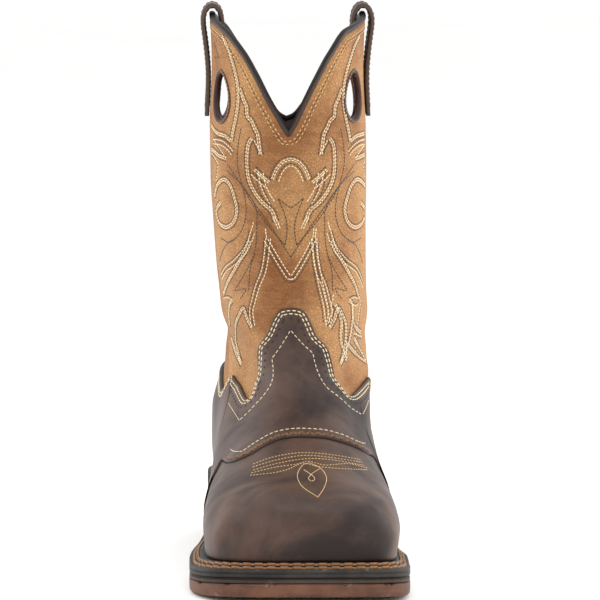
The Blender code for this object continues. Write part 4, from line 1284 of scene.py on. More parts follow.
def build_collar():
    face = boot_face()
    turns = np.arange(COLLAR_COLUMNS) * 360.0 / COLLAR_COLUMNS
    top = face.level_at(turns, edge_height(COLLAR_EDGE, signed_turn(turns)))
    middle = face.point(turns, top, -LEATHER / 2 + 0 * turns)
    normal = face.lookup(face.normal, turns, top)
    normal[:, 2] = 0
    normal /= np.linalg.norm(normal, axis=1, keepdims=True)
    run = np.roll(middle, -1, 0) - np.roll(middle, 1, 0)
    run /= np.linalg.norm(run, axis=1, keepdims=True)
    lift = np.cross(normal, run)
    lift *= np.sign(lift[:, 2:3])
    rings, edge = [], []
    for angle in np.linspace(0, 2 * np.pi, COLLAR_SECTION, endpoint=False):
        across = 0.5 * PIPING_WIDTH * np.sign(np.cos(angle)) * abs(np.cos(angle)) ** 0.8
        height = PIPING_HEIGHT * 0.5 * (1 + np.sin(angle)) - 0.9 * (np.sin(angle) < 0)
        rings.append(middle + normal * across + lift * height)
        edge.append(np.full(len(turns), float(0 < np.cos(angle) and np.sin(angle) < 0.1)))
    rings = np.stack(rings)
    quads = grid_quads(COLLAR_SECTION + 1, COLLAR_COLUMNS, True).reshape(-1, 4)
    quads = quads % (COLLAR_SECTION * COLLAR_COLUMNS)
    mesh_piece("collar_binding", rings.reshape(-1, 3), quads, [skin("strap_hide")], None,
               {"edge": 0.55 * np.concatenate(edge), "shade": np.full(rings[..., 0].size, .5)},
               None, ["collar_piping"])

    nets = [CACHE["shaft"]]
    size = bpy.context.scene.boot_stitching
    seam = Seam("collar_stitching", "gold_thread", 2.9, 1.7, size.cream_width / MM, 0.3)
    # painted shadow: the dark row between the two gold rows stands in for shade beside the gold
    # stitches, not a thread
    shadow = Seam("collar_stitching_dark", "dark_thread", 2.9, 1.2, size.dark_width / MM, .25)
    face_line = face.point(turns, top, 0 * turns)
    for offset, which in ((3.6, seam), (4.9, shadow), (5.6, seam)):
        line = face_line - lift * offset
        spots = [snap(nets, place) for place in np.concatenate([line, line[:1]])]
        which.row([s[0] for s in spots], [s[1] for s in spots], 0.0, nets)
    seam.build("tan_leather")
    shadow.build("tan_leather")


HOLE_AROUND = 96
HOLE_SECTION = ((0.0, -1.0), (0.0, 0.15), (0.10, 0.72), (0.38, 1.0), (0.72, 0.9),
                (0.96, 0.42), (1.0, -0.2), (1.0, -1.0))


def hole_outline(grow):
    angle = np.arange(HOLE_AROUND) * 2 * np.pi / HOLE_AROUND
    rise = np.sin(angle)
    width = (HOLE_HALF_WIDTH + grow) * (1 - HOLE_NARROWING * rise)
    return width * np.cos(angle), (HOLE_HALF_HEIGHT + grow) * rise


def hole_ring(face, turn, height, grow, out):
    """Ring of points round a pull hole, out millimetres off the leg's face."""
    middle, _, across = hole_frame(face, turn, height)
    near = turn + np.linspace(-HOLE_REACH, HOLE_REACH, HOLE_RAYS)
    a, b = hole_outline(grow)
    ring = np.zeros((HOLE_AROUND, 3))
    for k in range(HOLE_AROUND):
        level = face.level_at(turn, height + b[k])
        row = face.point(near, level + 0 * near, out + 0 * near)
        along = (row - middle) @ across
        ring[k] = [np.interp(a[k], along, row[:, c]) for c in range(3)]
    return ring


def build_holes():
    face = boot_face()
    seam = Seam("pull_hole_stitching", "olive_thread", 2.3, 1.6, 0.5, 0.28)
    for name, turn, height in HOLES:
        rings = []
        for share, rise in HOLE_SECTION:
            out = -LEATHER / 2 + (LEATHER / 2 + HOLE_LIP) * rise
            rings.append(hole_ring(face, turn, height, share * HOLE_BINDING, out))
        rings = np.stack(rings)
        count = len(HOLE_SECTION)
        quads = grid_quads(count + 1, HOLE_AROUND, True).reshape(-1, 4) % (count * HOLE_AROUND)
        mesh_piece("pull_hole_binding_" + name, rings.reshape(-1, 3), quads[:, ::-1],
                   [skin("binding_hide")], None,
                   {"edge": np.zeros(rings[..., 0].size), "shade":
                    np.full(rings[..., 0].size, .5)}, None,
                   ["hole_binding_" + name])
        line = hole_ring(face, turn, height, HOLE_SEAM * HOLE_BINDING, HOLE_LIP - 0.1)
        out = hole_ring(face, turn, height, HOLE_SEAM * HOLE_BINDING, HOLE_LIP + 0.9) - line
        closed = np.concatenate([line, line[:1]])
        seam.row(closed, np.concatenate([out, out[:1]]))
    seam.build("dark_leather")


STRAP_ROWS = 96
STRAP_COLUMNS = 28
STRAP_CORNER = 0.6
STRAP_SEAM_INSETS = (2.4, 4.6)
WALL_TOP = 306.0
WALL_REACH = 45
WALL_RAYS = 91


def wall_x(face, side, y, z):
    """Where the leg's side wall stands at these depths and this height."""
    near = side * 90.0 + np.linspace(-WALL_REACH, WALL_REACH, WALL_RAYS)
    level = face.level_at(side * 90.0, z)
    row = face.point(near, level + 0 * near)
    order = np.argsort(row[:, 1])
    return np.interp(y, row[order, 1], row[order, 0])


def strap_grid(face, side, offsets, across):
    """Points of the strap: one sheet for each offset from its middle."""
    knots = np.linspace(0, 1, len(STRAP_PATH))
    where = np.linspace(0, 1, STRAP_ROWS + 1)
    out = np.interp(where, knots, [row[1] for row in STRAP_PATH])
    up = np.interp(where, knots, [row[2] for row in STRAP_PATH])
    soft = np.array([0.25, 0.5, 0.25])
    for _ in range(2 * (STRAP_ROWS // STRAP_STEPS) ** 2):
        out[1:-1] = np.convolve(out, soft, "valid")
        up[1:-1] = np.convolve(up, soft, "valid")
    d_out, d_up = np.gradient(out), np.gradient(up)
    size = np.hypot(d_out, d_up)
    sheets = []
    for offset in offsets:
        sheet = np.zeros((STRAP_ROWS + 1, len(across), 3))
        for i in range(STRAP_ROWS + 1):
            z = up[i] - d_out[i] / size[i] * offset
            y = STRAP_MIDDLE_Y + across
            x = wall_x(face, side, y, min(z, WALL_TOP)) - side * LEATHER / 2
            sheet[i] = np.stack([x + side * (out[i] + d_up[i] / size[i] * offset), y,
                                 0 * y + z], axis=1)
        sheets.append(sheet)
    return sheets


def build_straps():
    face = boot_face()
    size = bpy.context.scene.boot_stitching
    for name, side in (("in", 1), ("out", -1)):
        across = STRAP_HALF_WIDTH * np.sin(np.linspace(-np.pi / 2, np.pi / 2, STRAP_COLUMNS))
        half = STRAP_THICK / 2
        low, high = strap_grid(face, side, (-half, half), across)
        middle = (low + high) / 2
        away = np.minimum(STRAP_HALF_WIDTH - np.abs(across), STRAP_CORNER * 2)
        slim = np.sqrt(1 - (1 - away / (STRAP_CORNER * 2)) ** 2) * 0.7 + 0.3
        low = middle + (low - middle) * slim[None, :, None]
        high = middle + (high - middle) * slim[None, :, None]
        rows, columns = low.shape[:2]
        faces = shell_faces(rows, columns, np.ones((rows - 1, columns - 1), bool))
        edge = np.clip(1 - (STRAP_HALF_WIDTH - np.abs(across)) / 0.5, 0, 1)
        edge = np.broadcast_to(edge, (rows, columns)).ravel()
        points = np.concatenate([high.reshape(-1, 3), low.reshape(-1, 3)])
        mesh_piece("pull_strap_leather_" + name, points, np.concatenate(faces),
                   [skin("strap_hide")], None,
                   {"edge": np.tile(edge, 2), "shade": np.full(len(points), .5)}, 60,
                   ["pull_strap_" + name])
        seam = Seam("pull_strap_stitching_" + name, "welt_thread", 2.9, 2.1,
                    size.cream_width / MM, 0.3)
        for inset, way, sign in product(STRAP_SEAM_INSETS, (-1, 1), (-1, 1)):
            place = np.array([way * (STRAP_HALF_WIDTH - inset)])
            base, above = strap_grid(face, side, (sign * half, sign * (half + 1)), place)
            seam.row(base[2:-2, 0], (above - base)[2:-2, 0])
        for row_at in (2, 4, STRAP_ROWS - 4, STRAP_ROWS - 2):
            inner_across = np.linspace(-1, 1, 30) * (STRAP_HALF_WIDTH - STRAP_SEAM_INSETS[0])
            base, above = strap_grid(face, side, (half, half + 1), inner_across)
            seam.row(base[row_at], (above - base)[row_at])
        seam.build("dark_leather")


# ---------------------------------------------------------------- stitching of the panels

VAMP_EDGE_ROWS = (2.0, 3.9)
SADDLE_ROW_DROP = 7.6
CHAIN_ROWS = ((1.3, 0.45), (2.4, -0.45))
PINHOLE_DROP = 6.6
PINHOLE_RUNS = ((-86, -36), (-36, 36), (36, 86))
VAMP_INNER_ROWS = (
    ("wing_out", ((221, 391.5), (223, 394.5), (230.3, 406), (239.4, 420.6))),
    ("sweep_out", ((239.4, 420.6), (248.5, 412), (256, 404), (263.6, 395.6), (270.4, 385.6),
     (273, 377), (273.2, 368), (272, 358.6))),
    ("top_out", ((272, 358.6), (281, 346), (290.6, 330.3))),
    ("top_in", ((290.6, 330.3), (301.8, 343), (312.8, 353.4))),
    ("sweep_in", ((312.8, 353.4), (315.4, 364.8), (320, 377), (327.2, 387.8), (339.4, 397.5),
     (351.5, 408.4), (362.4, 415.1))),
    ("wing_in", ((362.4, 415.1), (366.6, 406), (369.2, 398))),
)
TOE_ROWS = (
    ("row_one", ((252.7, 464.4), (271.8, 457.6), (296.3, 453.2), (317.8, 453.4), (340, 456.2),
     (360.6, 459.8))),
    ("row_two", ((251.9, 467.5), (274.9, 460.6), (299.4, 456), (317.8, 456.2), (340, 459),
     (362.2, 462.4))),
    ("row_three", ((252.7, 470.6), (278, 463.4), (307, 458.9), (333, 460.2), (363.7, 465.6))),
    ("row_four", ((250.5, 473.4), (274.9, 467.5), (296.3, 464.4), (308.6, 461.6), (325.4, 465.2),
     (348.4, 463.9), (367.2, 468.2))),
    ("row_five", ((249.6, 475.6), (271.8, 473.2), (287.1, 469.8), (302.5, 463.6), (317.8, 466.7),
     (340.7, 468.8), (367.5, 470))),
)
HEART_LINES = (
    ("heart_out", ((309.3, 462.9), (302, 466), (297.4, 475), (300.4, 484.4), (307, 490.4),
     (318, 497.3))),
    ("heart_in", ((318, 497.3), (324.4, 487.2), (326.4, 477.5), (320.8, 468.6), (309.3, 462.9))),
    ("heart_loop", ((303.6, 469.8), (310.1, 474), (314.7, 478.6), (311.8, 481.4), (308.4, 478.4),
     (312.4, 473.6), (319.6, 468.8))),
)


def edge_line(table, drop, turns, nets, below=True):
    """Line a set distance inside a panel's edge."""
    face = boot_face()
    levels = face.level_at(turns, edge_height(table, turns))
    plain = face.point(turns, levels, SNAP_FROM + 0 * turns)
    normal = face.lookup(face.normal, turns, levels)
    run = np.gradient(plain, axis=0)
    run /= np.linalg.norm(run, axis=1, keepdims=True)
    inward = np.cross(run, normal) * (1 if below else -1)
    spots = [snap(nets, place) for place in plain + inward * drop]
    places = np.array([s[0] for s in spots])
    normals = np.array([s[1] for s in spots])
    # a line that folds back over itself in a corner is cut short there
    ahead = np.einsum("ij,ij->i", np.gradient(places, axis=0), run) > 0
    ahead[[0, -1]] = True
    return places[ahead], normals[ahead]


def build_vamp_stitching():
    size = bpy.context.scene.boot_stitching
    cream = size.cream_width / MM
    saddle, toe, counter = ([CACHE[k]] for k in ("saddle_leather", "toe_vamp_leather",
                                                 "counter_leather"))
    rows = Seam("vamp_stitching", "cream_thread", 3.1, 2.25, cream * 1.05, 0.36)
    turns = np.linspace(-89, 89, 420)
    for drop in VAMP_EDGE_ROWS:
        rows.row(*edge_line(TONGUE_EDGE, drop, turns, saddle))
    rows.width = cream * 0.72
    for _, knots in VAMP_INNER_ROWS:
        for line, normals in seen_line(knots, saddle):
            rows.row(line, normals)
    turns = np.linspace(-62, 62, 300)
    rows.row(*edge_line(SADDLE_EDGE, SADDLE_ROW_DROP, turns, saddle, False))
    rows.width = cream * 1.05
    back = np.linspace(91, 269, 300)
    for drop in VAMP_EDGE_ROWS:
        rows.row(*edge_line(COUNTER_EDGE, drop, back, counter))
    rows.build()

    chain = Seam("saddle_chain_stitching", "welt_thread", 2.3, 2.2, 0.52, 0.5)
    for drop, lean in CHAIN_ROWS:
        places, normals = edge_line(SADDLE_EDGE, drop, np.linspace(-60, 60, 300), saddle,
                                    False)
        before = len(chain.parts)
        chain.row(places, normals)
        for k in range(before, len(chain.parts)):
            points, faces = chain.parts[k]
            blocks = points.reshape(-1, 16, 3)
            middle = blocks.mean(axis=1, keepdims=True)
            up = np.array([0.0, 0.3, 1.0])
            along = ((blocks - middle) * (1, 0, 0)).sum(axis=2, keepdims=True)
            sign = np.where(np.arange(len(blocks)) % 2, 1, -1)[:, None, None]
            chain.parts[k] = ((blocks + up * along * lean * sign).reshape(-1, 3), faces)
    chain.build()

    for table, seam in (
            (TOE_ROWS, Seam("toe_stitching", "gold_thread", 1.85, 1.3, 0.50, 0.34)),
            (HEART_LINES, Seam("toe_heart_stitching", "gold_thread", 1.7, 1.6, 0.52, 0.34))):
        for _, knots in table:
            for line, normals in seen_line(knots, toe):
                seam.row(line, normals)
        seam.build()

    # the pinholes are dark dashes of painted shade where the punched holes are
    holes = Seam("vamp_pinholes", "pinhole_dark", 4.2, 1.5, 1.5, 0.16)
    for low, high in PINHOLE_RUNS:
        holes.row(*edge_line(TONGUE_EDGE, PINHOLE_DROP, np.linspace(low, high, 160), saddle))
    holes.build()


# ---------------------------------------------------------------- sole

SOLE_AROUND = 480
SOLE_ACROSS = 24


def sole_ring(inset, height_of):
    """Ring of the sole's plan, inset millimetres from the welt's edge."""
    half = SOLE_AROUND // 2
    points = np.zeros((SOLE_AROUND, 3))
    for side in (1, -1):
        x, y, _ = plan_half(WELT_PLAN, side, half, inset)
        block = np.stack([x, y, height_of(y)], axis=1)
        place_half(points, block, side)
    return points


def cap_sheet(ring, first, lowered=None):
    """Face across a ring, in rows from its inner side to its outer side."""
    half = len(ring) // 2
    inner = ring[1:half]
    outer = ring[:half:-1]
    share = np.linspace(0, 1, SOLE_ACROSS + 1)[:, None, None]
    sheet = inner[None] * (1 - share) + outer[None] * share
    if lowered is not None:
        sheet[..., 2] += lowered(sheet)
    middle = sheet[1:-1]
    index = np.zeros((SOLE_ACROSS + 1, half - 1), int)
    index[0] = first + np.arange(1, half)
    index[-1] = first + np.arange(len(ring) - 1, half, -1)
    return middle.reshape(-1, 3), index


def ring_piece(name, rings, skins, edge, replaces, caps=(), lowered=None, shade=None):
    """Solid through rings; caps names the rings that are closed across (first, last)."""
    rings = np.stack(rings)
    count = len(rings)
    flat = rings.reshape(-1, 3)
    if caps:
        quads = list(grid_quads(count, SOLE_AROUND, True).reshape(-1, 4))
    else:
        quads = list(grid_quads(count + 1, SOLE_AROUND, True).reshape(-1, 4)
                     % (count * SOLE_AROUND))
    points = [flat]
    total = len(flat)
    marks = [np.repeat(edge, SOLE_AROUND)]
    shades = [np.full(len(flat), 0.0) if shade is None else shade.ravel()]
    half = SOLE_AROUND // 2
    for which in caps:
        first = 0 if which == "first" else (count - 1) * SOLE_AROUND
        middle, index = cap_sheet(rings[0 if which == "first" else -1], first,
                                  lowered if which == "first" else None)
        index[1:-1] = total + np.arange(len(middle)).reshape(SOLE_ACROSS - 1, half - 1)
        points.append(middle)
        marks.append(np.zeros(len(middle)))
        shades.append(np.zeros(len(middle)))
        total += len(middle)
        grid = np.stack([index[:-1, :-1], index[1:, :-1], index[1:, 1:], index[:-1, 1:]],
                        axis=-1).reshape(-1, 4)
        front = [(first, index[k + 1, 0], index[k, 0]) for k in range(SOLE_ACROSS)]
        back = [(first + half, index[k, -1], index[k + 1, -1]) for k in range(SOLE_ACROSS)]
        quads += [tuple(q) for q in grid] + front + back
    piece = mesh_piece(name, np.concatenate(points), quads, skins, None,
                       {"edge": np.concatenate(marks), "shade": np.concatenate(shades)}, 42,
                       replaces)
    face_outward(piece)


GROOVES = 6
GROOVE_FROM = -214.0
GROOVE_PITCH = 17.0
GROOVE_WIDE = 5.0
GROOVE_DEEP = 2.6


def groove_rise(sheet):
    """Tread grooves under the forefoot."""
    y = sheet[..., 1]
    into = (y - GROOVE_FROM) % GROOVE_PITCH
    inside = (y > GROOVE_FROM - 1) & (y < GROOVE_FROM + (GROOVES - 1) * GROOVE_PITCH
                                      + GROOVE_WIDE)
    cut = np.clip(np.minimum(into, GROOVE_WIDE - into) / 0.8, 0, 1)
    share = np.linspace(0, 1, sheet.shape[0])[:, None]
    margin = np.clip(np.minimum(share, 1 - share) * 10, 0, 1)
    return GROOVE_DEEP * cut * inside * margin


# Nicks along the sole's joints: frame place across, size (mm)
NICKS = ((193, 1.7), (229, 1.5), (270, 1.9), (276, 1.2), (390, 1.6), (385, 1.1), (203, 1.2),
         (345, 1.6))


def nick_marks(ring):
    """Nicks where the joint between two layers is torn a little: a shallow dip, darkened with
    painted shade.
    """
    sight = Sight()
    total = np.zeros(len(ring))
    for across, reach in NICKS:
        rel = ring - sight.eye
        seen = FRAME_SIDE / 2 + VIEW_FOCUS * (rel @ sight.right) / (rel @ sight.ahead)
        near = np.exp(-((seen - across) / reach) ** 2) * (ring[:, 1] < -200)
        total = np.maximum(total, near)
    return total


def build_sole():
    under = tread_height
    raised = lambda rise: (lambda y: under(y) + rise)
    joint = OUTSOLE_THICK - 0.15
    rings, edge, shade = [], [], []
    outsole = ((2.2, 0.0, 0.3), (0.9, 0.35, 1.0), (0.1, 1.4, 0.7), (0.0, 3.0, 0.3),
               (0.0, joint - 1.6, 0.3), (0.05, joint - 0.5, 1.0), (0.7, joint, 0.8))
    for inset, rise, rub in outsole:
        rings.append(sole_ring(inset, raised(rise)))
        edge.append(rub)
    nick = nick_marks(rings[0])
    # painted shade in the nicks, on the outsole's top rings
    shade = [0 * nick] * 5 + [nick, nick]
    rings[5][:, 2] -= 0.9 * nick
    rings[6][:, 2] -= 0.9 * nick
    ring_piece("outsole_tread", rings, [skin("outsole_rubber")], edge,
               ["outsole"], ("first", "last"), groove_rise, np.stack(shade))

    base, top = OUTSOLE_THICK, OUTSOLE_THICK + MIDSOLE_THICK - 0.15
    core = WELT_WIDTH + 0.6
    core_top = base + MIDSOLE_THICK + WELT_EDGE + WELT_RISE - GAP
    midsole = ((0.9, 0.0, 0.2), (0.25, 0.35, 1.0), (0.15, 1.0, 0.4), (0.15, top - base - 1.1, .4),
               (0.5, top - base - 0.75, 0.9), (1.0, top - base - 0.5, 0.1),
               (1.0, top - base, 0.1), (WELT_WIDTH, top - base, 0), (core, top - base, 0),
               (core, core_top - base, 0))
    rings = [sole_ring(inset, raised(base + rise)) for inset, rise, _ in midsole]
    shade = np.zeros((len(rings), SOLE_AROUND))
    # painted shade at the midsole's foot on the outsole and on its top bevel under the welt
    shade[0] = 0.8
    shade[5:7] = 0.9
    ring_piece("midsole_layer", rings, [skin("midsole_rubber_fine")],
               [row[2] for row in midsole], ["midsole"],
               ("first", "last"), None, shade)

    seat = OUTSOLE_THICK + MIDSOLE_THICK
    up = WELT_EDGE + WELT_RISE - GAP
    welt = ((0.8, 0.1, 0.1), (0.15, 0.5, 0.8), (0.0, 1.0, 0.3), (0.0, 2.1, 0.2),
            (0.35, 2.4, 0.1), (0.35, 2.75, 0.1), (0.0, 3.05, 0.2), (0.0, 4.2, 0.5),
            (0.2, 4.75, 1.0), (0.8, 5.0, 0.8), (1.5, 5.0, 0.1), (2.0, 4.8, 0.0),
            (3.4, 5.2, 0.0), (4.4, 6.3, 0.0), (WELT_SHOULDER, up - 0.2, 0.0),
            (7.5, up, 0.0), (WELT_WIDTH, up, 0.0), (WELT_WIDTH, 0.1, 0.0))
    rings = [sole_ring(inset, raised(seat + rise)) for inset, rise, _ in welt]
    shade = np.zeros((len(rings), SOLE_AROUND))
    # painted shade at the welt's foot on the midsole; the groove's 0.45 stays under 0.5 and
    # paints nothing
    shade[0] = 0.9
    shade[4:6] = 0.45
    ring_piece("welt_rim", rings, [skin("welt_rubber")], [row[2] for row in welt],
               ["welt"], (), None, shade)


WELT_PITCH = 6.9
# Inset, height over the welt's foot, width and height of the stitches
WELT_ROWS = ((3.0, 5.45, 1.9, 1.35), (5.0, 7.4, 1.5, 1.2))


def welt_line(inset, rise):
    """Closed line on the welt with its upright normals."""
    seat = OUTSOLE_THICK + MIDSOLE_THICK
    line = sole_ring(inset, lambda y: tread_height(y) + seat + rise)
    up = np.zeros(line.shape)
    up[:, 2] = 1
    return np.concatenate([line, line[:1]]), np.concatenate([up, up[:1]])


def build_welt_stitching():
    """Two rows of thick stitches on top of the welt, with a short one over each gap."""
    seam = Seam("welt_stitching", "welt_thread", WELT_PITCH, 6.3, None, None)
    for inset, rise, width, height in WELT_ROWS:
        seam.width, seam.height = width, height
        seam.row(*welt_line(inset, rise - 0.4))
    seam.build("grey_rubber")
    small = Seam("welt_lock_stitching", "welt_thread", WELT_PITCH, 2.6, 1.3, 0.95)
    for inset, rise, _, _ in WELT_ROWS:
        small.row(*welt_line(inset - 0.7, rise - 0.5), start=0.98)
    small.build("grey_rubber")


# ---------------------------------------------------------------- heel and insole

HEEL_FRONT_Y = -40.0
HEEL_TAPER = 3.0
HEEL_HALF = 90
HEEL_STEPS = 900
HEEL_ACROSS = 16


def heel_outline(inset, front):
    rows = []
    for side, flip in ((1, False), (-1, True)):
        x, y, _ = plan_half(WELT_PLAN, side, HEEL_STEPS, inset)
        keep = y >= front
        x, y = x[keep], y[keep]
        run = run_of(x, y)
        even = np.linspace(0, run[-1], HEEL_HALF + 1)
        line = np.stack([np.interp(even, run, x), np.interp(even, run, y)], axis=1)
        line[0, 1] = front
        rows.append(line[::-1] if flip else line)
    return np.concatenate([rows[0], rows[1][1:]])


def heel_piece(name, layers, skin_name, replaces):
    """Solid through heel outlines; each layer has inset, front, height, rub and painted shade."""
    rings, edge, shade = [], [], []
    for inset, front, height_of, rub, dark in layers:
        flat = heel_outline(inset, front)
        across = np.linspace(flat[-1, 0], flat[0, 0], HEEL_ACROSS + 2)[1:-1]
        flat = np.concatenate([flat, np.stack([across, front + 0 * across], axis=1)])
        rings.append(np.column_stack([flat, height_of(flat[:, 1]) + 0 * flat[:, 0]]))
        edge.append(np.full(len(flat), rub))
        shade.append(np.full(len(flat), dark))
    rings = np.stack(rings)
    count, around = rings.shape[:2]
    faces = [tuple(q) for q in grid_quads(count, around, True).reshape(-1, 4)]
    faces.append(tuple(range(around)))
    faces.append(tuple(range(count * around - 1, (count - 1) * around - 1, -1)))
    piece = mesh_piece(name, rings.reshape(-1, 3), faces, [skin(skin_name)], None,
                       {"edge": np.concatenate(edge), "shade": np.concatenate(shade)}, 42,
                       replaces)
    face_outward(piece)


def build_heel():
    top = lambda y: tread_height(y) - GAP
    near = lambda drop: (lambda y: top(y) - drop)
    flat = lambda z: (lambda y: 0 * y + z)
    taper = HEEL_TAPER * 0.8
    # the last number of each layer is painted shade: at the joint on the top lift, in the groove
    # and under the sole
    heel_piece("heel_stack", (
        (taper + 0.4, HEEL_FRONT_Y + 2.0, flat(HEEL_LIFT_THICK), 0.3, 0.9),
        (taper, HEEL_FRONT_Y + 1.6, flat(HEEL_LIFT_THICK + 0.5), 0.9, 0.0),
        (1.9, HEEL_FRONT_Y + 1.1, flat(11.6), 0.2, 0.0),
        (2.2, HEEL_FRONT_Y + 1.4, flat(11.9), 0.1, 0.8),
        (1.9, HEEL_FRONT_Y + 1.1, flat(12.2), 0.2, 0.0),
        (1.3, HEEL_FRONT_Y + 0.6, near(2.4), 0.2, 0.0),
        (0.9, HEEL_FRONT_Y + 0.2, near(0.5), 0.9, 0.0),
        (1.2, HEEL_FRONT_Y + 0.5, top, 0.2, 0.9)), "heel_rubber",
        ["heel_block"])
    heel_piece("heel_top_lift", (
        (HEEL_TAPER + 1.0, HEEL_FRONT_Y + 2.8, flat(0.0), 0.8, 0.0),
        (HEEL_TAPER + 0.2, HEEL_FRONT_Y + 2.0, flat(0.7), 1.0, 0.0),
        (HEEL_TAPER, HEEL_FRONT_Y + 1.8, flat(1.8), 0.3, 0.0),
        (taper, HEEL_FRONT_Y + 1.6, flat(HEEL_LIFT_THICK - 0.8), 0.4, 0.0),
        (taper + 0.4, HEEL_FRONT_Y + 2.0, flat(HEEL_LIFT_THICK - 0.3), 0.6, 0.5)),
        "outsole_rubber", ["heel_lift"])


def build_insole():
    """The footbed keeps its solid and gets a finish of its own."""
    node = bpy.data.objects.get("insole")
    if node is None:
        raise RuntimeError("the insole is not in the frame")
    for place in node.material_slots:
        place.material = skin("insole_hide")


# ---------------------------------------------------------------- stage

LIGHTS = (
    # name, place (m), aim (m), size (m), share of the key's power, colour
    ("light_key", (-1.15, -1.55, 1.25), (0, -0.12, 0.12), (0.9, 1.3), 1.0, (1.0, 0.985, 0.96)),
    ("light_fill", (1.35, -1.45, 0.85), (0, -0.12, 0.12), (0.9, 1.3), 0.85, (0.97, 0.985, 1.0)),
    ("light_top", (0.05, -0.15, 1.75), (0, -0.10, 0.1), (1.2, 1.2), 0.55, (1.0, 1.0, 1.0)),
    ("light_rim_out", (-0.85, 0.15, 0.40), (0, -0.1, 0.12), (0.3, 1.0), 0.42, (1.0, 1.0, 1.0)),
    ("light_rim_in", (0.85, 0.10, 0.40), (0, -0.1, 0.12), (0.3, 1.0), 0.55, (1.0, 1.0, 1.0)),
)


def build_stage():
    stage = bpy.context.scene.boot_stage
    floor = bpy.data.meshes.new("floor")
    half = 6.0
    floor.from_pydata([(-half, -half, 0), (half, -half, 0), (half, half, 0), (-half, half, 0)],
                      [], [(0, 1, 2, 3)])
    make = Finish("pale_floor")
    drift = make.noise(3.0, 3)
    colour = stage.floor_colour[:]
    base = make.blend(make.span(drift, 0.3, 0.7), colour, tuple(0.985 * c for c in colour))
    floor.materials.append(make.finish(base, 0.9))
    ground = bpy.data.objects.new("floor", floor)
    bpy.context.scene.collection.objects.link(ground)

    for name, place, aim, size, share, colour in LIGHTS:
        lamp = bpy.data.lights.new(name, "AREA")
        lamp.shape = "RECTANGLE"
        lamp.size, lamp.size_y = size
        lamp.energy = stage.key_power * share
        lamp.color = colour
        made = bpy.data.objects.new(name, lamp)
        made.location = place
        made.rotation_euler = (Vector(aim) - Vector(place)).to_track_quat("-Z", "Y").to_euler()
        bpy.context.scene.collection.objects.link(made)

    bpy.context.scene.view_settings.view_transform = "Standard"
    world = bpy.data.worlds.new("pale_world")
    world.use_nodes = True
    world.node_tree.nodes["Background"].inputs["Color"].default_value = (1, 1, 1, 1)
    world.node_tree.nodes["Background"].inputs["Strength"].default_value = stage.world_strength
    bpy.context.scene.world = world

    sight = Sight()
    lens = bpy.data.cameras.new("camera")
    lens.sensor_width = 36.0
    lens.lens = VIEW_FOCUS / FRAME_SIDE * lens.sensor_width
    lens.clip_end = 50.0
    camera = bpy.data.objects.new("camera", lens)
    camera.location = sight.eye * MM
    camera.rotation_euler = (radians(90 - VIEW_PITCH), 0.0, -radians(VIEW_YAW))
    bpy.context.scene.collection.objects.link(camera)
    bpy.context.scene.camera = camera


# ---------------------------------------------------------------- add-on


def colour_prop(name, description, default):
    return bpy.props.FloatVectorProperty(name=name, description=description, subtype="COLOR",
                                         default=default, min=0.0, max=1.0)


class BootColours(bpy.types.PropertyGroup):
    # tan_light and tan_deep are the lit and shaded ends of the leg's painted light and shade,
    # with random patches between; tan_light also colours the draw lines
    tan_light: colour_prop("Tan, light", "Leg leather where it is lightest",
                           (0.49, 0.262, 0.106))
    tan_deep: colour_prop("Tan, deep", "Leg leather where it is most shaded",
                          (0.235, 0.086, 0.026))
    tan_grain: colour_prop("Tan, grain", "Creases between the pebbles of the leg leather",
                           (0.10, 0.040, 0.014))
    # brown_light and brown_deep are the lit and shaded ends of the vamp's painted light and
    # shade, with random clouds between; brown_light also colours the scratches
    brown_light: colour_prop("Brown, light", "Vamp leather where it is rubbed",
                             (0.088, 0.048, 0.034))
    brown_deep: colour_prop("Brown, deep", "Vamp leather where it is oiled",
                            (0.0165, 0.0080, 0.0066))
    brown_edge: colour_prop("Brown, edge", "Cut edge of the vamp leather",
                            (0.014, 0.009, 0.007))
    dark_light: colour_prop("Dark, light", "Strap leather where it is lightest",
                            (0.014, 0.0075, 0.0065))
    dark_deep: colour_prop("Dark, deep", "Strap leather where it is darkest",
                           (0.005, 0.003, 0.003))
    strap_edge: colour_prop("Strap edge", "Pale cut edge of straps and collar",
                            (0.082, 0.053, 0.038))
    binding_light: colour_prop("Binding, light", "Pull hole bindings, lightest",
                               (0.072, 0.026, 0.019))
    binding_deep: colour_prop("Binding, deep", "Pull hole bindings, darkest",
                              (0.028, 0.010, 0.008))


class BootStitching(bpy.types.PropertyGroup):
    leg_pitch: bpy.props.FloatProperty(name="Leg stitch", unit="LENGTH", default=2.1 * MM,
                                       min=1.2 * MM, max=5 * MM, precision=4,
                                       description="Pitch of the leg's stitches")
    cream_width: bpy.props.FloatProperty(name="Cream thread", unit="LENGTH",
                                         default=0.70 * MM, min=0.2 * MM, max=2 * MM,
                                         precision=4, description="Width of the cream thread")
    dark_width: bpy.props.FloatProperty(name="Dark thread", unit="LENGTH",
                                        default=0.66 * MM, min=0.2 * MM, max=2 * MM,
                                        precision=4, description="Width of the dark thread")


class BootStage(bpy.types.PropertyGroup):
    key_power: bpy.props.FloatProperty(name="Key light", unit="POWER", default=9.0, min=0.0,
                                       description="Power of the main light")
    world_strength: bpy.props.FloatProperty(name="Surroundings", default=1.04, min=0.0,
                                            description="Strength of the pale surroundings")
    floor_colour: colour_prop("Floor", "Colour of the floor", (0.96, 0.96, 0.955))


class BOOT_OT_upper(bpy.types.Operator):
    """Build the leg and foot leather with its lining and creases"""
    bl_idname = "boot.upper"
    bl_label = "Upper"
    bl_options = {"REGISTER", "UNDO"}

    def execute(self, context):
        build_upper()
        return {"FINISHED"}


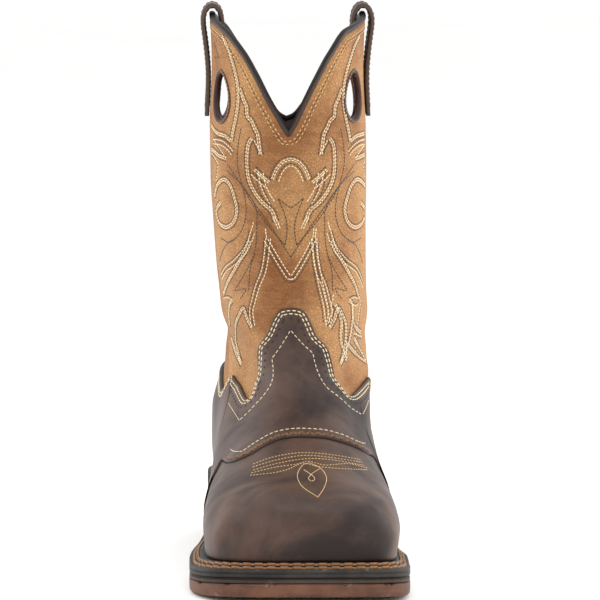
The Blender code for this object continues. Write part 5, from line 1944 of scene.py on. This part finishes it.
class BOOT_OT_toe_vamp(bpy.types.Operator):
    """Build the vamp leather over the toe"""
    bl_idname = "boot.toe_vamp"
    bl_label = "Toe vamp"
    bl_options = {"REGISTER", "UNDO"}

    def execute(self, context):
        build_toe_vamp()
        return {"FINISHED"}


class BOOT_OT_saddle(bpy.types.Operator):
    """Build the tongue-shaped overlay of the vamp"""
    bl_idname = "boot.saddle"
    bl_label = "Saddle"
    bl_options = {"REGISTER", "UNDO"}

    def execute(self, context):
        build_saddle()
        return {"FINISHED"}


class BOOT_OT_counter(bpy.types.Operator):
    """Build the leather round the heel"""
    bl_idname = "boot.counter"
    bl_label = "Counter"
    bl_options = {"REGISTER", "UNDO"}

    def execute(self, context):
        build_counter()
        return {"FINISHED"}


class BOOT_OT_collar(bpy.types.Operator):
    """Build the collar's binding and its stitching"""
    bl_idname = "boot.collar"
    bl_label = "Collar"
    bl_options = {"REGISTER", "UNDO"}

    def execute(self, context):
        build_collar()
        return {"FINISHED"}


class BOOT_OT_pull_holes(bpy.types.Operator):
    """Build the four bound pull holes"""
    bl_idname = "boot.pull_holes"
    bl_label = "Pull holes"
    bl_options = {"REGISTER", "UNDO"}

    def execute(self, context):
        build_holes()
        return {"FINISHED"}


class BOOT_OT_pull_straps(bpy.types.Operator):
    """Build the two pull straps"""
    bl_idname = "boot.pull_straps"
    bl_label = "Pull straps"
    bl_options = {"REGISTER", "UNDO"}

    def execute(self, context):
        build_straps()
        return {"FINISHED"}


class BOOT_OT_leg_stitching(bpy.types.Operator):
    """Stitch the pattern of the leg, front and back"""
    bl_idname = "boot.leg_stitching"
    bl_label = "Leg stitching"
    bl_options = {"REGISTER", "UNDO"}

    def execute(self, context):
        build_leg_stitching()
        return {"FINISHED"}


class BOOT_OT_vamp_stitching(bpy.types.Operator):
    """Stitch the vamp, toe and counter"""
    bl_idname = "boot.vamp_stitching"
    bl_label = "Vamp stitching"
    bl_options = {"REGISTER", "UNDO"}

    def execute(self, context):
        build_vamp_stitching()
        return {"FINISHED"}


class BOOT_OT_sole(bpy.types.Operator):
    """Build outsole, midsole and welt"""
    bl_idname = "boot.sole"
    bl_label = "Sole"
    bl_options = {"REGISTER", "UNDO"}

    def execute(self, context):
        build_sole()
        return {"FINISHED"}


class BOOT_OT_welt_stitching(bpy.types.Operator):
    """Lay the lockstitch on the welt"""
    bl_idname = "boot.welt_stitching"
    bl_label = "Welt stitching"
    bl_options = {"REGISTER", "UNDO"}

    def execute(self, context):
        build_welt_stitching()
        return {"FINISHED"}


class BOOT_OT_heel(bpy.types.Operator):
    """Build the heel's stack and top lift"""
    bl_idname = "boot.heel"
    bl_label = "Heel"
    bl_options = {"REGISTER", "UNDO"}

    def execute(self, context):
        build_heel()
        return {"FINISHED"}


class BOOT_OT_insole(bpy.types.Operator):
    """Finish the footbed"""
    bl_idname = "boot.insole"
    bl_label = "Insole"
    bl_options = {"REGISTER", "UNDO"}

    def execute(self, context):
        build_insole()
        return {"FINISHED"}


class BOOT_OT_stage(bpy.types.Operator):
    """Set up floor, lights and camera"""
    bl_idname = "boot.stage"
    bl_label = "Stage"
    bl_options = {"REGISTER", "UNDO"}

    def execute(self, context):
        build_stage()
        return {"FINISHED"}


OPERATORS = (
    BOOT_OT_upper, BOOT_OT_toe_vamp, BOOT_OT_saddle, BOOT_OT_counter, BOOT_OT_collar,
    BOOT_OT_pull_holes, BOOT_OT_pull_straps, BOOT_OT_leg_stitching,
    BOOT_OT_vamp_stitching, BOOT_OT_sole, BOOT_OT_welt_stitching, BOOT_OT_heel,
    BOOT_OT_insole, BOOT_OT_stage,
)
GROUPS = (("boot_colours", BootColours), ("boot_stitching", BootStitching),
          ("boot_stage", BootStage))


class BOOT_PT_panel(bpy.types.Panel):
    """Pieces of the boot and their sizes and colours"""
    bl_idname = "BOOT_PT_panel"
    bl_label = "Western work boot"
    bl_space_type = "VIEW_3D"
    bl_region_type = "UI"
    bl_category = "Boot"

    def draw(self, context):
        for kind in OPERATORS:
            self.layout.operator(kind.bl_idname)
        for name, group in GROUPS:
            box = self.layout.box()
            for key in group.__annotations__:
                box.prop(getattr(context.scene, name), key)


def register():
    for name, group in GROUPS:
        bpy.utils.register_class(group)
        setattr(bpy.types.Scene, name, bpy.props.PointerProperty(type=group))
    for kind in OPERATORS + (BOOT_PT_panel,):
        bpy.utils.register_class(kind)


def unregister():
    for kind in reversed(OPERATORS + (BOOT_PT_panel,)):
        bpy.utils.unregister_class(kind)
    for name, group in reversed(GROUPS):
        delattr(bpy.types.Scene, name)
        bpy.utils.unregister_class(group)


def main():
    register()
    for kind in OPERATORS:
        family, word = kind.bl_idname.split(".")
        getattr(getattr(bpy.ops, family), word)()


if __name__ == "__main__":
    main()
